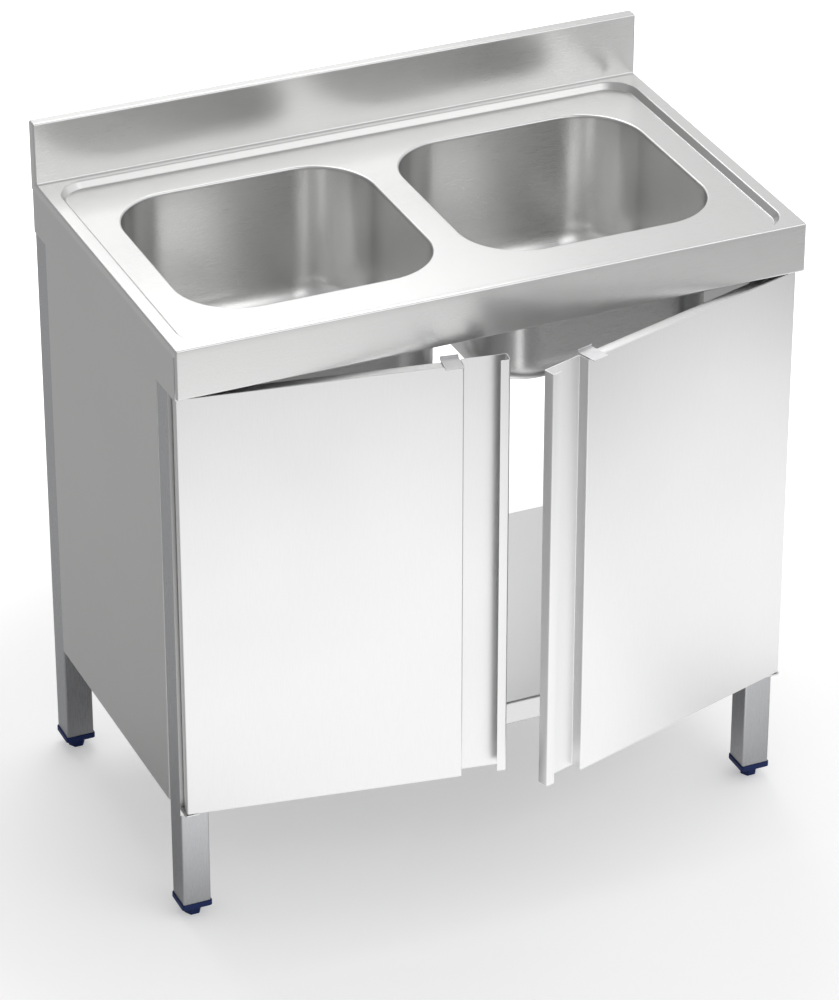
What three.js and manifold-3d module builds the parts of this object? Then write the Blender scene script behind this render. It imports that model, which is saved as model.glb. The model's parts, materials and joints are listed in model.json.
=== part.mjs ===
// Free-standing stainless-steel sink unit: a pressed worktop with two bowls on a four-legged
// cabinet with two hinged doors, an open back and one base shelf.
//
// Millimetres, +Z up, +X to the right of someone facing the doors, the doors facing -Y.
// The pieces are laid out with y = 0 at the front of the worktop and z = 0 on the floor; the
// whole unit is then moved back so that the origin is the centre of its footprint at rest,
// with both doors ajar.

import * as THREE from 'three';
import { mergeVertices } from 'three/addons/utils/BufferGeometryUtils.js';
import Module from 'manifold-3d';

const wasm = await Module();
wasm.setup();

// ---------------------------------------------------------------- driving dimensions

// Overall
const UNIT_WIDTH = 1000;
const UNIT_DEPTH = 600;
const WORKTOP_HEIGHT = 1000;

// Worktop sheet, its folds and its recessed field
const WORKTOP_SHEET = 1.2;
const BEND_RADIUS = 2; // inside radius of a press-brake fold
const APRON_HEIGHT = 80;
const APRON_RETURN = 12;
const APRON_HEM = 9;
const SIDE_FLANGE = 13;
const SPLASHBACK_HEIGHT = 100;
const SPLASHBACK_THICKNESS = 20;
const RIM_FRONT = 10;
const RIM_SIDE = 22;
const RIM_BACK = 13;
const RECESS_DEPTH = 10;
const RECESS_STEP_RUN = 7;
const RECESS_CORNER = 47;
const WELD_LAP = 4; // flat margin of a pressed step beyond its bend

// Bowls: the deep-drawn shells take what these margins leave of the recess
const BOWL_SIDE_MARGIN = 53;
const BOWL_FRONT_MARGIN = 90;
const BOWL_BACK_MARGIN = 67;
const BOWL_GAP = 50;
const BOWL_DEPTH = 250; // worktop rim to the underside of the floor's edge
const BOWL_CORNER = 100;
const BOWL_FLOOR_RADIUS = 60;
const BOWL_LIP_RADIUS = 2.5;
const BOWL_LIP_DROP = 6;
const BOWL_FLOOR_FALL = 3;

// Waste outlets
const WASTE_WELL_RADIUS = 45;
const WASTE_WELL_FLOOR = 42;
const WASTE_WELL_DEPTH = 5;
const WASTE_HOLE_RADIUS = 26;
const WASTE_TAIL_RADIUS = 24;
const WASTE_TAIL_WALL = 2.5;
const WASTE_TAIL_LENGTH = 45;
const WASTE_FLANGE_RADIUS = 40;
const WASTE_FLANGE_THICKNESS = 2;
const WASTE_HOLES = 7;
const WASTE_HOLE_SIZE = 4;
const WASTE_HOLE_CIRCLE = 13;
const WASHER_RADIUS = 36;
const WASHER_THICKNESS = 3;
const WASTE_NUT_RADIUS = 34;
const WASTE_NUT_HEIGHT = 12;
const WASTE_NUT_TAPER = 2;
const WASTE_NUT_GROOVES = 6;
const WASTE_NUT_GROOVE_SIZE = 4;

// Legs, caps and feet
const LEG_SIZE = 45;
const LEG_WALL = 1.5;
const LEG_CORNER = 3;
const LEG_SETBACK = 42; // worktop front to the legs' front faces
const LEG_BACK_INSET = 2;
const CAP_THICKNESS = 9;
const CAP_OVERHANG = 2;
const CAP_PLUG_LENGTH = 22;
const CAP_PLUG_WALL = 3;
const CAP_PLUG_CORNER = 4;
const CAP_BOSS_RADIUS = 9;
const FOOT_HEIGHT = 19;
const FOOT_TOP_RADIUS = 15.5;
const FOOT_BASE_RADIUS = 13.5;
const FOOT_STEM_RADIUS = 5;
const FOOT_STEM_LENGTH = 40;

// Top frame and stiffeners
const RAIL_DEPTH = 25;
const RAIL_HEIGHT = 45;
const RAIL_WALL = 1.5;
const HAT_HEIGHT = 18;
const HAT_FLANGE = 7;
const WORKTOP_HAT_WIDTH = 20;
const SHELF_HAT_WIDTH = 60;
const SHELF_HAT_END = 20;

// Side panels
const PANEL_SHEET = 1;
const PANEL_BEND = 1;
const PANEL_FRONT = 14; // worktop front to the panel's front edge
const PANEL_INSET = 0.3; // flange inside to panel outside
const PANEL_BOTTOM = 193;
const PANEL_BAND_DROP = 6.5; // how far the upper band hangs below the apron
const PANEL_RETURN = 18;
const PANEL_LEG_RETURN = 9;
const PANEL_TOP_GAP = 2;

// Base shelf
const SHELF_SHEET = 1;
const SHELF_HEIGHT = 240;
const SHELF_LIP = 40;
const SHELF_RETURN = 12;
const SHELF_SETBACK = 62;
const SHELF_BACK_INSET = 10;

// Doors
const DOOR_SHEET = 1;
const DOOR_THICKNESS = 20;
const DOOR_BOTTOM = 208;
const DOOR_TOP_GAP = 8; // below the apron
const DOOR_LEG_GAP = 5; // door back to leg front, for the corner to swing through
const DOOR_SIDE_INSET = 5.5;
const DOOR_CENTRE_GAP = 3;
const DOOR_BEND = 1.5;
const DOOR_BACK_LIP = 12;
const GRIP_WIDTH = 69;
const GRIP_LIP = 14;
const LEFT_DOOR_AJAR = 9.4; // degrees open at rest
const RIGHT_DOOR_AJAR = 17.6; // degrees open at rest
const INNER_PANEL_RETURN = 10;

// Catch plates and magnetic catches
const CATCH_WIDTH = 28;
const CATCH_FRONT_OVERHANG = 10;
const CATCH_BACK_OVERHANG = 6;
const CATCH_UPSTAND = 5;
const CATCH_EDGE_GAP = 2;
const MAGNET_GAP = 0.5;
const MAGNET_DEPTH = 12;
const MAGNET_HEIGHT = 14;
const MAGNET_ROUNDING = 2;
const MAGNET_STRAP = 1.5;

// Pin hinges
const HINGE_INSET = 10; // door's outer edge to the hinge axis
const PIN_RADIUS = 4;
const PIN_HEAD_RADIUS = 5.5;
const PIN_CHAMFER = 1.5;
const PIN_HEAD_HEIGHT = 5;
const BUSH_RADIUS = 6;
const BUSH_LENGTH = 12;
const BUSH_COLLAR_RADIUS = 7.5;
const BUSH_COLLAR = 0.8;
const POST_WIDTH = 24;
const POST_SHEET = 1.2;
const POST_TAB = 2.5;
const POST_TAB_CORNER = 4;
const HINGE_GAP = 1.5; // door edge to the post's tab
const TURNING_CLEARANCE = 0.3;

// Gap left between neighbours that are cut round or rest on each other
const CLEARANCE = 0.3;

// How far solids that are joined or cut run into each other
const OVERLAP = 1;

// Facets
const BEND_STEPS = 3;
const CORNER_STEPS = 6;
const SIDE_STEPS = 5; // along each straight side of a bowl
const FLOOR_STEPS = 5;
const ROUND_STEPS = 24;
const PIN_STEPS = 12;
const DRILL_STEPS = 6;

// ---------------------------------------------------------------- derived places

const halfWidth = UNIT_WIDTH / 2;
const splashFront = UNIT_DEPTH - SPLASHBACK_THICKNESS;
const splashTop = WORKTOP_HEIGHT + SPLASHBACK_HEIGHT;
const apronBottom = WORKTOP_HEIGHT - APRON_HEIGHT;
const flangeBottom = WORKTOP_HEIGHT - SIDE_FLANGE;
const fieldTop = WORKTOP_HEIGHT - RECESS_DEPTH;
const fieldUnder = fieldTop - WORKTOP_SHEET;
const lipBottom = fieldTop - BOWL_LIP_DROP;

const bowlWidth = halfWidth - RIM_SIDE - BOWL_SIDE_MARGIN - BOWL_GAP / 2;
const bowlFront = RIM_FRONT + BOWL_FRONT_MARGIN;
const bowlBack = splashFront - RIM_BACK - BOWL_BACK_MARGIN;
const bowlLength = bowlBack - bowlFront;
const bowlCentreX = (bowlWidth + BOWL_GAP) / 2;
const bowlCentreY = (bowlFront + bowlBack) / 2;
const bowlBase = WORKTOP_HEIGHT - BOWL_DEPTH;
const wellUnder = bowlBase - BOWL_FLOOR_FALL - WASTE_WELL_DEPTH;

const panelOuter = halfWidth - WORKTOP_SHEET - PANEL_INSET;
const panelInner = panelOuter - PANEL_SHEET;
const legOuter = panelInner;
const legInner = legOuter - LEG_SIZE;
const legFront = LEG_SETBACK;
const legBack = UNIT_DEPTH - LEG_BACK_INSET;
const legFootZ = FOOT_HEIGHT + CAP_THICKNESS;
const betweenLegsFront = legFront + LEG_SIZE;
const betweenLegsBack = legBack - LEG_SIZE;
const railBottom = fieldUnder - RAIL_HEIGHT;

const panelBand = apronBottom - PANEL_BAND_DROP;
const shelfBack = UNIT_DEPTH - SHELF_BACK_INSET;
const shelfBottom = SHELF_HEIGHT - SHELF_LIP;

const doorTop = apronBottom - DOOR_TOP_GAP;
const doorOuter = halfWidth - DOOR_SIDE_INSET;
const doorWidth = doorOuter - DOOR_CENTRE_GAP / 2;
const hingeX = doorOuter - HINGE_INSET;
const hingeY = legFront - DOOR_LEG_GAP - DOOR_THICKNESS / 2;

// ---------------------------------------------------------------- materials

function steel(color, roughness) {
  return new THREE.MeshStandardMaterial({ color, roughness, metalness: 1 });
}

function plastic(color, roughness) {
  return new THREE.MeshStandardMaterial({ color, roughness, metalness: 0 });
}

const brushedSteel = steel(0xd4d5d3, 0.35);
const bowlSteel = steel(0xb9bab8, 0.25);
const doorSteel = steel(0xe2e3e1, 0.4);
const tubeSteel = steel(0xa9acad, 0.45);
const pinSteel = steel(0x8f9294, 0.3);
const catchSteel = steel(0xdadbe4, 0.4);
const navyPlastic = plastic(0x1c2a5c, 0.5);
const blackRubber = plastic(0x202020, 0.8);
const nylon = plastic(0xe6e6e0, 0.5);
const magnetPlastic = plastic(0x2b2c2e, 0.6);

// ---------------------------------------------------------------- solids from geometries

// A closed, outward-facing solid from any closed three.js geometry.
function solid(geometry) {
  const bare = geometry.clone();
  bare.deleteAttribute('normal');
  bare.deleteAttribute('uv');
  const merged = mergeVertices(bare);
  const positions = merged.getAttribute('position').array;
  const triangles = [];
  for (let i = 0; i < merged.index.count; i += 3) {
    const [a, b, c] = [merged.index.getX(i), merged.index.getX(i + 1), merged.index.getX(i + 2)];
    if (a !== b && b !== c && c !== a) {
      triangles.push(a, b, c);
    }
  }
  if (signedVolume(positions, triangles) < 0) {
    triangles.reverse();
  }
  return new wasm.Manifold(new wasm.Mesh({
    numProp: 3,
    vertProperties: Float32Array.from(positions),
    triVerts: Uint32Array.from(triangles),
  }));
}

function signedVolume(positions, triangles) {
  const corner = (i) => new THREE.Vector3().fromArray(positions, triangles[i] * 3);
  let sum = 0;
  for (let i = 0; i < triangles.length; i += 3) {
    sum += corner(i).dot(corner(i + 1).cross(corner(i + 2)));
  }
  return sum / 6;
}

function geometryOf(body) {
  const mesh = body.getMesh();
  const geometry = new THREE.BufferGeometry();
  geometry.setAttribute('position', new THREE.BufferAttribute(mesh.vertProperties, 3));
  geometry.setIndex(new THREE.BufferAttribute(mesh.triVerts, 1));
  geometry.computeVertexNormals();
  return geometry;
}

const join = (first, ...others) => others.reduce((whole, piece) => whole.add(piece), first);
const cut = (first, ...tools) => tools.reduce((whole, tool) => whole.subtract(tool), first);

// The same geometry seen in a mirror across x = 0, with its faces still pointing out.
function mirrored(geometry) {
  const copy = geometry.clone();
  copy.scale(-1, 1, 1);
  copy.index.array.reverse();
  copy.computeVertexNormals();
  return copy;
}

// ---------------------------------------------------------------- outlines

const vectors = (pairs) => pairs.map(([a, b]) => new THREE.Vector2(a, b));

// The outline of a sheet folded along its middle line, with a round bend at each corner.
function foldedSheet(path, thickness, insideRadius = BEND_RADIUS) {
  const points = vectors(path);
  const bend = insideRadius + thickness / 2;
  const left = [];
  const right = [];
  const put = (point, normal) => {
    left.push(point.clone().addScaledVector(normal, thickness / 2));
    right.unshift(point.clone().addScaledVector(normal, -thickness / 2));
  };
  points.forEach((point, i) => {
    const arriving = i > 0 ? point.clone().sub(points[i - 1]).normalize() : null;
    const leaving = i < points.length - 1 ? points[i + 1].clone().sub(point).normalize() : null;
    if (!arriving || !leaving) {
      const along = arriving ?? leaving;
      put(point, new THREE.Vector2(-along.y, along.x));
      return;
    }
    const turn = Math.atan2(arriving.cross(leaving), arriving.dot(leaving));
    const side = Math.sign(turn);
    const start = point.clone().addScaledVector(arriving, -bend * Math.tan(Math.abs(turn) / 2));
    const inwards = new THREE.Vector2(-arriving.y, arriving.x);
    const centre = start.clone().addScaledVector(inwards, side * bend);
    for (let step = 0; step <= BEND_STEPS; step += 1) {
      const onBend = start.clone().rotateAround(centre, (turn * step) / BEND_STEPS);
      const normal = centre.clone().sub(onBend).normalize().multiplyScalar(side);
      put(onBend, normal);
    }
  });
  return [...left, ...right];
}

// A polygon whose corners are given as [a, b, radius].
function roundedOutline(corners) {
  const outline = [];
  corners.forEach(([a, b, radius], i) => {
    const point = new THREE.Vector2(a, b);
    if (!radius) {
      outline.push(point);
      return;
    }
    const [before] = vectors([corners[(i + corners.length - 1) % corners.length]]);
    const [after] = vectors([corners[(i + 1) % corners.length]]);
    const arriving = point.clone().sub(before).normalize();
    const leaving = after.clone().sub(point).normalize();
    const turn = Math.atan2(arriving.cross(leaving), arriving.dot(leaving));
    const start = point.clone().addScaledVector(arriving, -radius * Math.tan(Math.abs(turn) / 2));
    const inwards = new THREE.Vector2(-arriving.y, arriving.x);
    const centre = start.clone().addScaledVector(inwards, Math.sign(turn) * radius);
    for (let step = 0; step <= BEND_STEPS; step += 1) {
      outline.push(start.clone().rotateAround(centre, (turn * step) / BEND_STEPS));
    }
  });
  return outline;
}

// A rounded rectangle in plan, stated by its centre, half sizes, corner radius and facets.
const plan = (x, y, halfX, halfY, corner, steps = CORNER_STEPS) => ({ x, y, halfX, halfY, corner, steps });

// The points of a plan drawn in by `inset`, counter-clockwise, with the same count at any inset.
// Each straight side is divided into `sideSteps`.
function planPoints(outline, inset = 0, sideSteps = 1) {
  const radius = outline.corner - inset;
  const corners = [];
  const quarter = Math.PI / 2;
  [[1, 1], [-1, 1], [-1, -1], [1, -1]].forEach(([signX, signY], turn) => {
    const centreX = outline.x + signX * (outline.halfX - outline.corner);
    const centreY = outline.y + signY * (outline.halfY - outline.corner);
    for (let step = 0; step <= outline.steps; step += 1) {
      const angle = quarter * (turn + step / outline.steps);
      const x = centreX + radius * Math.cos(angle);
      const y = centreY + radius * Math.sin(angle);
      corners.push(new THREE.Vector2(x, y));
    }
  });
  return corners.flatMap((point, i) => {
    const next = corners[(i + 1) % corners.length];
    const steps = (i + 1) % (outline.steps + 1) === 0 ? sideSteps : 1;
    return Array.from({ length: steps }, (_, step) => point.clone().lerp(next, step / steps));
  });
}

// ---------------------------------------------------------------- building operations

function extrusion(outline, holes, length) {
  const shape = new THREE.Shape(outline);
  shape.holes = holes.map((hole) => new THREE.Path(hole));
  return new THREE.ExtrudeGeometry(shape, { depth: length, bevelEnabled: false, steps: 1 });
}

// Outline in (x, y), extruded up from z0 to z1.
function alongZ(outline, z0, z1, holes = []) {
  return solid(extrusion(outline, holes, z1 - z0).translate(0, 0, z0));
}

// Outline in (y, z), extruded to the right from x0 to x1.
function alongX(outline, x0, x1, holes = []) {
  const turned = new THREE.Matrix4().set(0, 0, 1, x0, 1, 0, 0, 0, 0, 1, 0, 0, 0, 0, 0, 1);
  return solid(extrusion(outline, holes, x1 - x0).applyMatrix4(turned));
}

// Outline in (z, x), extruded back from y0 to y1.
function alongY(outline, y0, y1, holes = []) {
  const turned = new THREE.Matrix4().set(0, 1, 0, 0, 0, 0, 1, y0, 1, 0, 0, 0, 0, 0, 0, 1);
  return solid(extrusion(outline, holes, y1 - y0).applyMatrix4(turned));
}

function block(x0, x1, y0, y1, z0, z1) {
  const box = new THREE.BoxGeometry(x1 - x0, y1 - y0, z1 - z0);
  return solid(box.translate((x0 + x1) / 2, (y0 + y1) / 2, (z0 + z1) / 2));
}

function rod(x, y, radius, z0, z1, steps = PIN_STEPS) {
  const cylinder = new THREE.CylinderGeometry(radius, radius, z1 - z0, steps);
  return solid(cylinder.rotateX(Math.PI / 2).translate(x, y, (z0 + z1) / 2));
}

// A profile of (radius, z) turned about the vertical line through (x, y).
function turned(profile, x, y, steps = ROUND_STEPS) {
  const lathe = new THREE.LatheGeometry(vectors(profile), steps);
  return solid(lathe.rotateX(Math.PI / 2).translate(x, y, 0));
}

// A closed tube of rings: each ring is joined to the next and the last to the first.
function closedLoft(rings) {
  const count = rings[0].length;
  const positions = rings.flat().flatMap((point) => [point.x, point.y, point.z]);
  const index = [];
  rings.forEach((_, row) => {
    const next = (row + 1) % rings.length;
    for (let i = 0; i < count; i += 1) {
      const j = (i + 1) % count;
      index.push(row * count + i, row * count + j, next * count + j);
      index.push(row * count + i, next * count + j, next * count + i);
    }
  });
  const geometry = new THREE.BufferGeometry();
  geometry.setAttribute('position', new THREE.Float32BufferAttribute(positions, 3));
  geometry.setIndex(index);
  return solid(geometry);
}

const atHeight = (points, z) => points.map((point) => new THREE.Vector3(point.x, point.y, z));

// A closed profile of (inset, z) swept round a plan.
function sweptRound(outline, profile) {
  return closedLoft(profile.map((point) => atHeight(planPoints(outline, point.x), point.y)));
}

// ---------------------------------------------------------------- worktop

const recess = plan(
  0,
  (RIM_FRONT + splashFront - RIM_BACK) / 2,
  halfWidth - RIM_SIDE,
  (splashFront - RIM_BACK - RIM_FRONT) / 2,
  RECESS_CORNER,
);

// The middle line of a bowl's wall, which its rolled lip continues.
function bowlPlan(side) {
  const wallMiddle = WORKTOP_SHEET / 2;
  return plan(
    side * bowlCentreX,
    bowlCentreY,
    bowlWidth / 2 - wallMiddle,
    bowlLength / 2 - wallMiddle,
    BOWL_CORNER - wallMiddle,
  );
}

function recessStep() {
  const high = WORKTOP_HEIGHT - WORKTOP_SHEET / 2;
  const low = high - RECESS_DEPTH;
  return sweptRound(recess, foldedSheet([
    [-WELD_LAP, high],
    [0, high],
    [RECESS_STEP_RUN, low],
    [RECESS_STEP_RUN + WELD_LAP, low],
  ], WORKTOP_SHEET));
}

function bowlLip(outline) {
  const middle = fieldTop - WORKTOP_SHEET / 2;
  const flat = BOWL_LIP_RADIUS + WORKTOP_SHEET + WELD_LAP;
  const path = [[-flat, middle], [0, middle], [0, lipBottom]];
  return sweptRound(outline, foldedSheet(path, WORKTOP_SHEET, BOWL_LIP_RADIUS));
}

function worktop() {
  const half = WORKTOP_SHEET / 2;
  const outerBend = BEND_RADIUS + WORKTOP_SHEET;
  const overlap = WELD_LAP / 2;
  const bowls = [bowlPlan(-1), bowlPlan(1)];

  const folded = alongX(foldedSheet([
    [APRON_RETURN - half, apronBottom + APRON_HEM],
    [APRON_RETURN - half, apronBottom + half],
    [half, apronBottom + half],
    [half, WORKTOP_HEIGHT - half],
    [splashFront + half, WORKTOP_HEIGHT - half],
    [splashFront + half, splashTop - half],
    [UNIT_DEPTH - half, splashTop - half],
    [UNIT_DEPTH - half, flangeBottom],
  ], WORKTOP_SHEET), -halfWidth, halfWidth);
  const fieldHole = alongZ(planPoints(recess, -overlap), fieldTop, splashTop);
  const field = alongZ(
    planPoints(recess, RECESS_STEP_RUN + overlap),
    fieldUnder,
    fieldTop,
    bowls.map((bowl) => planPoints(bowl, -BOWL_LIP_RADIUS - WORKTOP_SHEET - overlap)),
  );
  const end = roundedOutline([
    [0, flangeBottom, 0],
    [UNIT_DEPTH, flangeBottom, 0],
    [UNIT_DEPTH, splashTop, outerBend],
    [splashFront, splashTop, outerBend],
    [splashFront, WORKTOP_HEIGHT, BEND_RADIUS],
    [0, WORKTOP_HEIGHT, outerBend],
  ]);
  return join(
    cut(folded, fieldHole),
    recessStep(),
    field,
    ...bowls.map(bowlLip),
    alongX(end, -halfWidth, -halfWidth + WORKTOP_SHEET),
    alongX(end, halfWidth - WORKTOP_SHEET, halfWidth),
  );
}

// ---------------------------------------------------------------- bowls and waste outlets

// One skin of the bowl, from its top edge down to the waste hole. `inward` is the sheet
// thickness for the inner skin and 0 for the outer one.
function bowlSkin(outline, inward) {
  const ring = (inset, z) => atHeight(planPoints(outline, inset, SIDE_STEPS), z);
  const rings = [ring(inward, lipBottom)];
  const turn = BOWL_FLOOR_RADIUS - inward;
  for (let step = 0; step <= FLOOR_STEPS; step += 1) {
    const angle = ((Math.PI / 2) * step) / FLOOR_STEPS;
    const inset = BOWL_FLOOR_RADIUS - turn * Math.cos(angle);
    const z = bowlBase + BOWL_FLOOR_RADIUS - turn * Math.sin(angle);
    rings.push(ring(inset, z));
  }
  const towards = planPoints(outline, BOWL_FLOOR_RADIUS, SIDE_STEPS).map((point) => (
    Math.atan2(point.y - outline.y, point.x - outline.x)
  ));
  const circle = (radius, z) => towards.map((angle) => (
    new THREE.Vector3(outline.x + radius * Math.cos(angle), outline.y + radius * Math.sin(angle), z)
  ));
  rings.push(circle(WASTE_WELL_RADIUS + WORKTOP_SHEET - inward, bowlBase - BOWL_FLOOR_FALL + inward));
  rings.push(circle(WASTE_WELL_FLOOR + WORKTOP_SHEET - inward, wellUnder + inward));
  rings.push(circle(WASTE_HOLE_RADIUS, wellUnder + inward));
  return rings;
}

function bowl() {
  const outline = plan(-bowlCentreX, bowlCentreY, bowlWidth / 2, bowlLength / 2, BOWL_CORNER);
  return closedLoft([...bowlSkin(outline, 0), ...bowlSkin(outline, WORKTOP_SHEET).reverse()]);
}

// Strainer flange in the bowl's well, with a grid of holes and a threaded tail through the floor.
function wasteStrainer() {
  const seat = wellUnder + WORKTOP_SHEET + CLEARANCE;
  const top = seat + WASTE_FLANGE_THICKNESS;
  const dish = WASTE_TAIL_RADIUS - WASTE_TAIL_WALL;
  const tailEnd = wellUnder - WASTE_TAIL_LENGTH;
  const body = turned([
    [0, seat],
    [dish, seat],
    [dish, tailEnd],
    [WASTE_TAIL_RADIUS, tailEnd],
    [WASTE_TAIL_RADIUS, seat],
    [WASTE_FLANGE_RADIUS, seat],
    [WASTE_FLANGE_RADIUS - WASTE_FLANGE_THICKNESS, top],
    [dish, top],
    [dish - WASTE_FLANGE_THICKNESS, seat + WASTE_FLANGE_THICKNESS / 2],
    [0, seat + WASTE_FLANGE_THICKNESS / 2],
  ], -bowlCentreX, bowlCentreY);
  const holes = Array.from({ length: WASTE_HOLES }, (_, i) => {
    const angle = (2 * Math.PI * i) / WASTE_HOLES;
    const x = -bowlCentreX + WASTE_HOLE_CIRCLE * Math.cos(angle);
    const y = bowlCentreY + WASTE_HOLE_CIRCLE * Math.sin(angle);
    return rod(x, y, WASTE_HOLE_SIZE, seat - WASTE_FLANGE_THICKNESS, top, DRILL_STEPS);
  });
  return cut(body, ...holes);
}

function wasteWasher() {
  const top = wellUnder - CLEARANCE;
  const bore = WASTE_TAIL_RADIUS + CLEARANCE;
  return turned([
    [bore, top],
    [WASHER_RADIUS, top],
    [WASHER_RADIUS, top - WASHER_THICKNESS],
    [bore, top - WASHER_THICKNESS],
    [bore, top],
  ], -bowlCentreX, bowlCentreY);
}

function wasteNut() {
  const top = wellUnder - WASHER_THICKNESS - 2 * CLEARANCE;
  const bore = WASTE_TAIL_RADIUS + CLEARANCE;
  const ring = turned([
    [bore, top],
    [WASTE_NUT_RADIUS, top],
    [WASTE_NUT_RADIUS - WASTE_NUT_TAPER, top - WASTE_NUT_HEIGHT],
    [bore, top - WASTE_NUT_HEIGHT],
    [bore, top],
  ], -bowlCentreX, bowlCentreY);
  const grooves = Array.from({ length: WASTE_NUT_GROOVES }, (_, i) => {
    const angle = (2 * Math.PI * i) / WASTE_NUT_GROOVES;
    const x = -bowlCentreX + WASTE_NUT_RADIUS * Math.cos(angle);
    const y = bowlCentreY + WASTE_NUT_RADIUS * Math.sin(angle);
    const bottom = top - WASTE_NUT_HEIGHT - OVERLAP;
    return rod(x, y, WASTE_NUT_GROOVE_SIZE, bottom, top + OVERLAP, DRILL_STEPS);
  });
  return cut(ring, ...grooves);
}

// ---------------------------------------------------------------- legs, caps and feet

const legCentreX = legOuter - LEG_SIZE / 2;

function leg(x, y) {
  const tube = plan(x, y, LEG_SIZE / 2, LEG_SIZE / 2, LEG_CORNER, BEND_STEPS);
  return alongZ(planPoints(tube), legFootZ, fieldUnder, [planPoints(tube, LEG_WALL)]);
}

// Square plate under the leg with a hollow plug inside the tube and a threaded boss in its middle.
function legCap(x, y) {
  const plateTop = legFootZ - CLEARANCE;
  const plugTop = legFootZ + CAP_PLUG_LENGTH;
  const plugHalf = LEG_SIZE / 2 - LEG_WALL - CLEARANCE;
  const plateHalf = LEG_SIZE / 2 + CAP_OVERHANG;
  const plate = plan(x, y, plateHalf, plateHalf, LEG_CORNER + CAP_OVERHANG, BEND_STEPS);
  const plug = plan(x, y, plugHalf, plugHalf, CAP_PLUG_CORNER, BEND_STEPS);
  return cut(
    join(
      alongZ(planPoints(plate), FOOT_HEIGHT, plateTop),
      alongZ(planPoints(plug), plateTop - OVERLAP, plugTop, [planPoints(plug, CAP_PLUG_WALL)]),
      rod(x, y, CAP_BOSS_RADIUS, plateTop - OVERLAP, plugTop),
    ),
    rod(x, y, FOOT_STEM_RADIUS + CLEARANCE, 0, plugTop + OVERLAP),
  );
}

// Six-sided pad that narrows to the floor, with the threaded stem that screws into the cap.
function foot(x, y) {
  const top = FOOT_HEIGHT - CLEARANCE;
  const pad = new THREE.CylinderGeometry(FOOT_TOP_RADIUS, FOOT_BASE_RADIUS, top, 6);
  const flatToFront = Math.PI / 6;
  return join(
    solid(pad.rotateX(Math.PI / 2).rotateZ(flatToFront).translate(x, y, top / 2)),
    rod(x, y, FOOT_STEM_RADIUS, top - OVERLAP, top + FOOT_STEM_LENGTH),
  );
}

// ---------------------------------------------------------------- frame

// Rectangular tube between the left and right legs, with its front face at y.
function crossRail(y) {
  const ring = (inset) => roundedOutline([
    [y + inset, railBottom + inset, BEND_RADIUS],
    [y + RAIL_DEPTH - inset, railBottom + inset, BEND_RADIUS],
    [y + RAIL_DEPTH - inset, fieldUnder - inset, BEND_RADIUS],
    [y + inset, fieldUnder - inset, BEND_RADIUS],
  ]);
  return alongX(ring(0), -legInner, legInner, [ring(RAIL_WALL)]);
}

function sideRail() {
  const inner = -legOuter + RAIL_DEPTH;
  const ring = (inset) => roundedOutline([
    [railBottom + inset, -legOuter + inset, BEND_RADIUS],
    [fieldUnder - inset, -legOuter + inset, BEND_RADIUS],
    [fieldUnder - inset, inner - inset, BEND_RADIUS],
    [railBottom + inset, inner - inset, BEND_RADIUS],
  ]);
  return alongY(ring(0), betweenLegsFront, betweenLegsBack, [ring(RAIL_WALL)]);
}

// Hat-shaped stiffener: two flanges under a sheet at height `top` and a channel between them.
function hatPath(centre, width, top) {
  const high = top - SHELF_SHEET / 2;
  const low = high - HAT_HEIGHT;
  return [
    [centre - width / 2 - HAT_FLANGE, high],
    [centre - width / 2, high],
    [centre - width / 2, low],
    [centre + width / 2, low],
    [centre + width / 2, high],
    [centre + width / 2 + HAT_FLANGE, high],
  ];
}

function worktopStiffener() {
  const swapped = hatPath(0, WORKTOP_HAT_WIDTH, fieldUnder).map(([x, z]) => [z, x]);
  return alongY(foldedSheet(swapped, SHELF_SHEET), legFront + RAIL_DEPTH, legBack - RAIL_DEPTH);
}

function shelfStiffener() {
  const middle = (SHELF_SETBACK + shelfBack) / 2;
  const path = hatPath(middle, SHELF_HAT_WIDTH, SHELF_HEIGHT - SHELF_SHEET);
  return alongX(foldedSheet(path, SHELF_SHEET), -legInner + SHELF_HAT_END, legInner - SHELF_HAT_END);
}

// ---------------------------------------------------------------- side panel and shelf

// One folded sheet: a wide band under the worktop that laps past both legs, and below it a face
// between the legs with a return down each leg and one along the bottom.
function sidePanel() {
  const half = PANEL_SHEET / 2;
  const middle = -panelOuter + half;
  const bend = PANEL_BEND + PANEL_SHEET;
  const front = betweenLegsFront + CLEARANCE;
  const back = betweenLegsBack - CLEARANCE;
  const rear = UNIT_DEPTH - WORKTOP_SHEET - CLEARANCE;
  const top = WORKTOP_HEIGHT - WORKTOP_SHEET - PANEL_TOP_GAP;
  const face = alongZ(foldedSheet([
    [-panelOuter + PANEL_LEG_RETURN, front + half],
    [middle, front + half],
    [middle, back - half],
    [-panelOuter + PANEL_LEG_RETURN, back - half],
  ], PANEL_SHEET, PANEL_BEND), PANEL_BOTTOM + bend, panelBand + OVERLAP);
  const foot = alongY(foldedSheet([
    [PANEL_BOTTOM + half, -panelOuter + PANEL_RETURN],
    [PANEL_BOTTOM + half, middle],
    [PANEL_BOTTOM + PANEL_RETURN, middle],
  ], PANEL_SHEET, PANEL_BEND), front + bend, back - bend);
  const band = alongZ(foldedSheet([
    [-panelOuter + PANEL_RETURN, PANEL_FRONT + half],
    [middle, PANEL_FRONT + half],
    [middle, rear],
  ], PANEL_SHEET, PANEL_BEND), panelBand, top);
  return join(face, foot, band);
}

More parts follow.
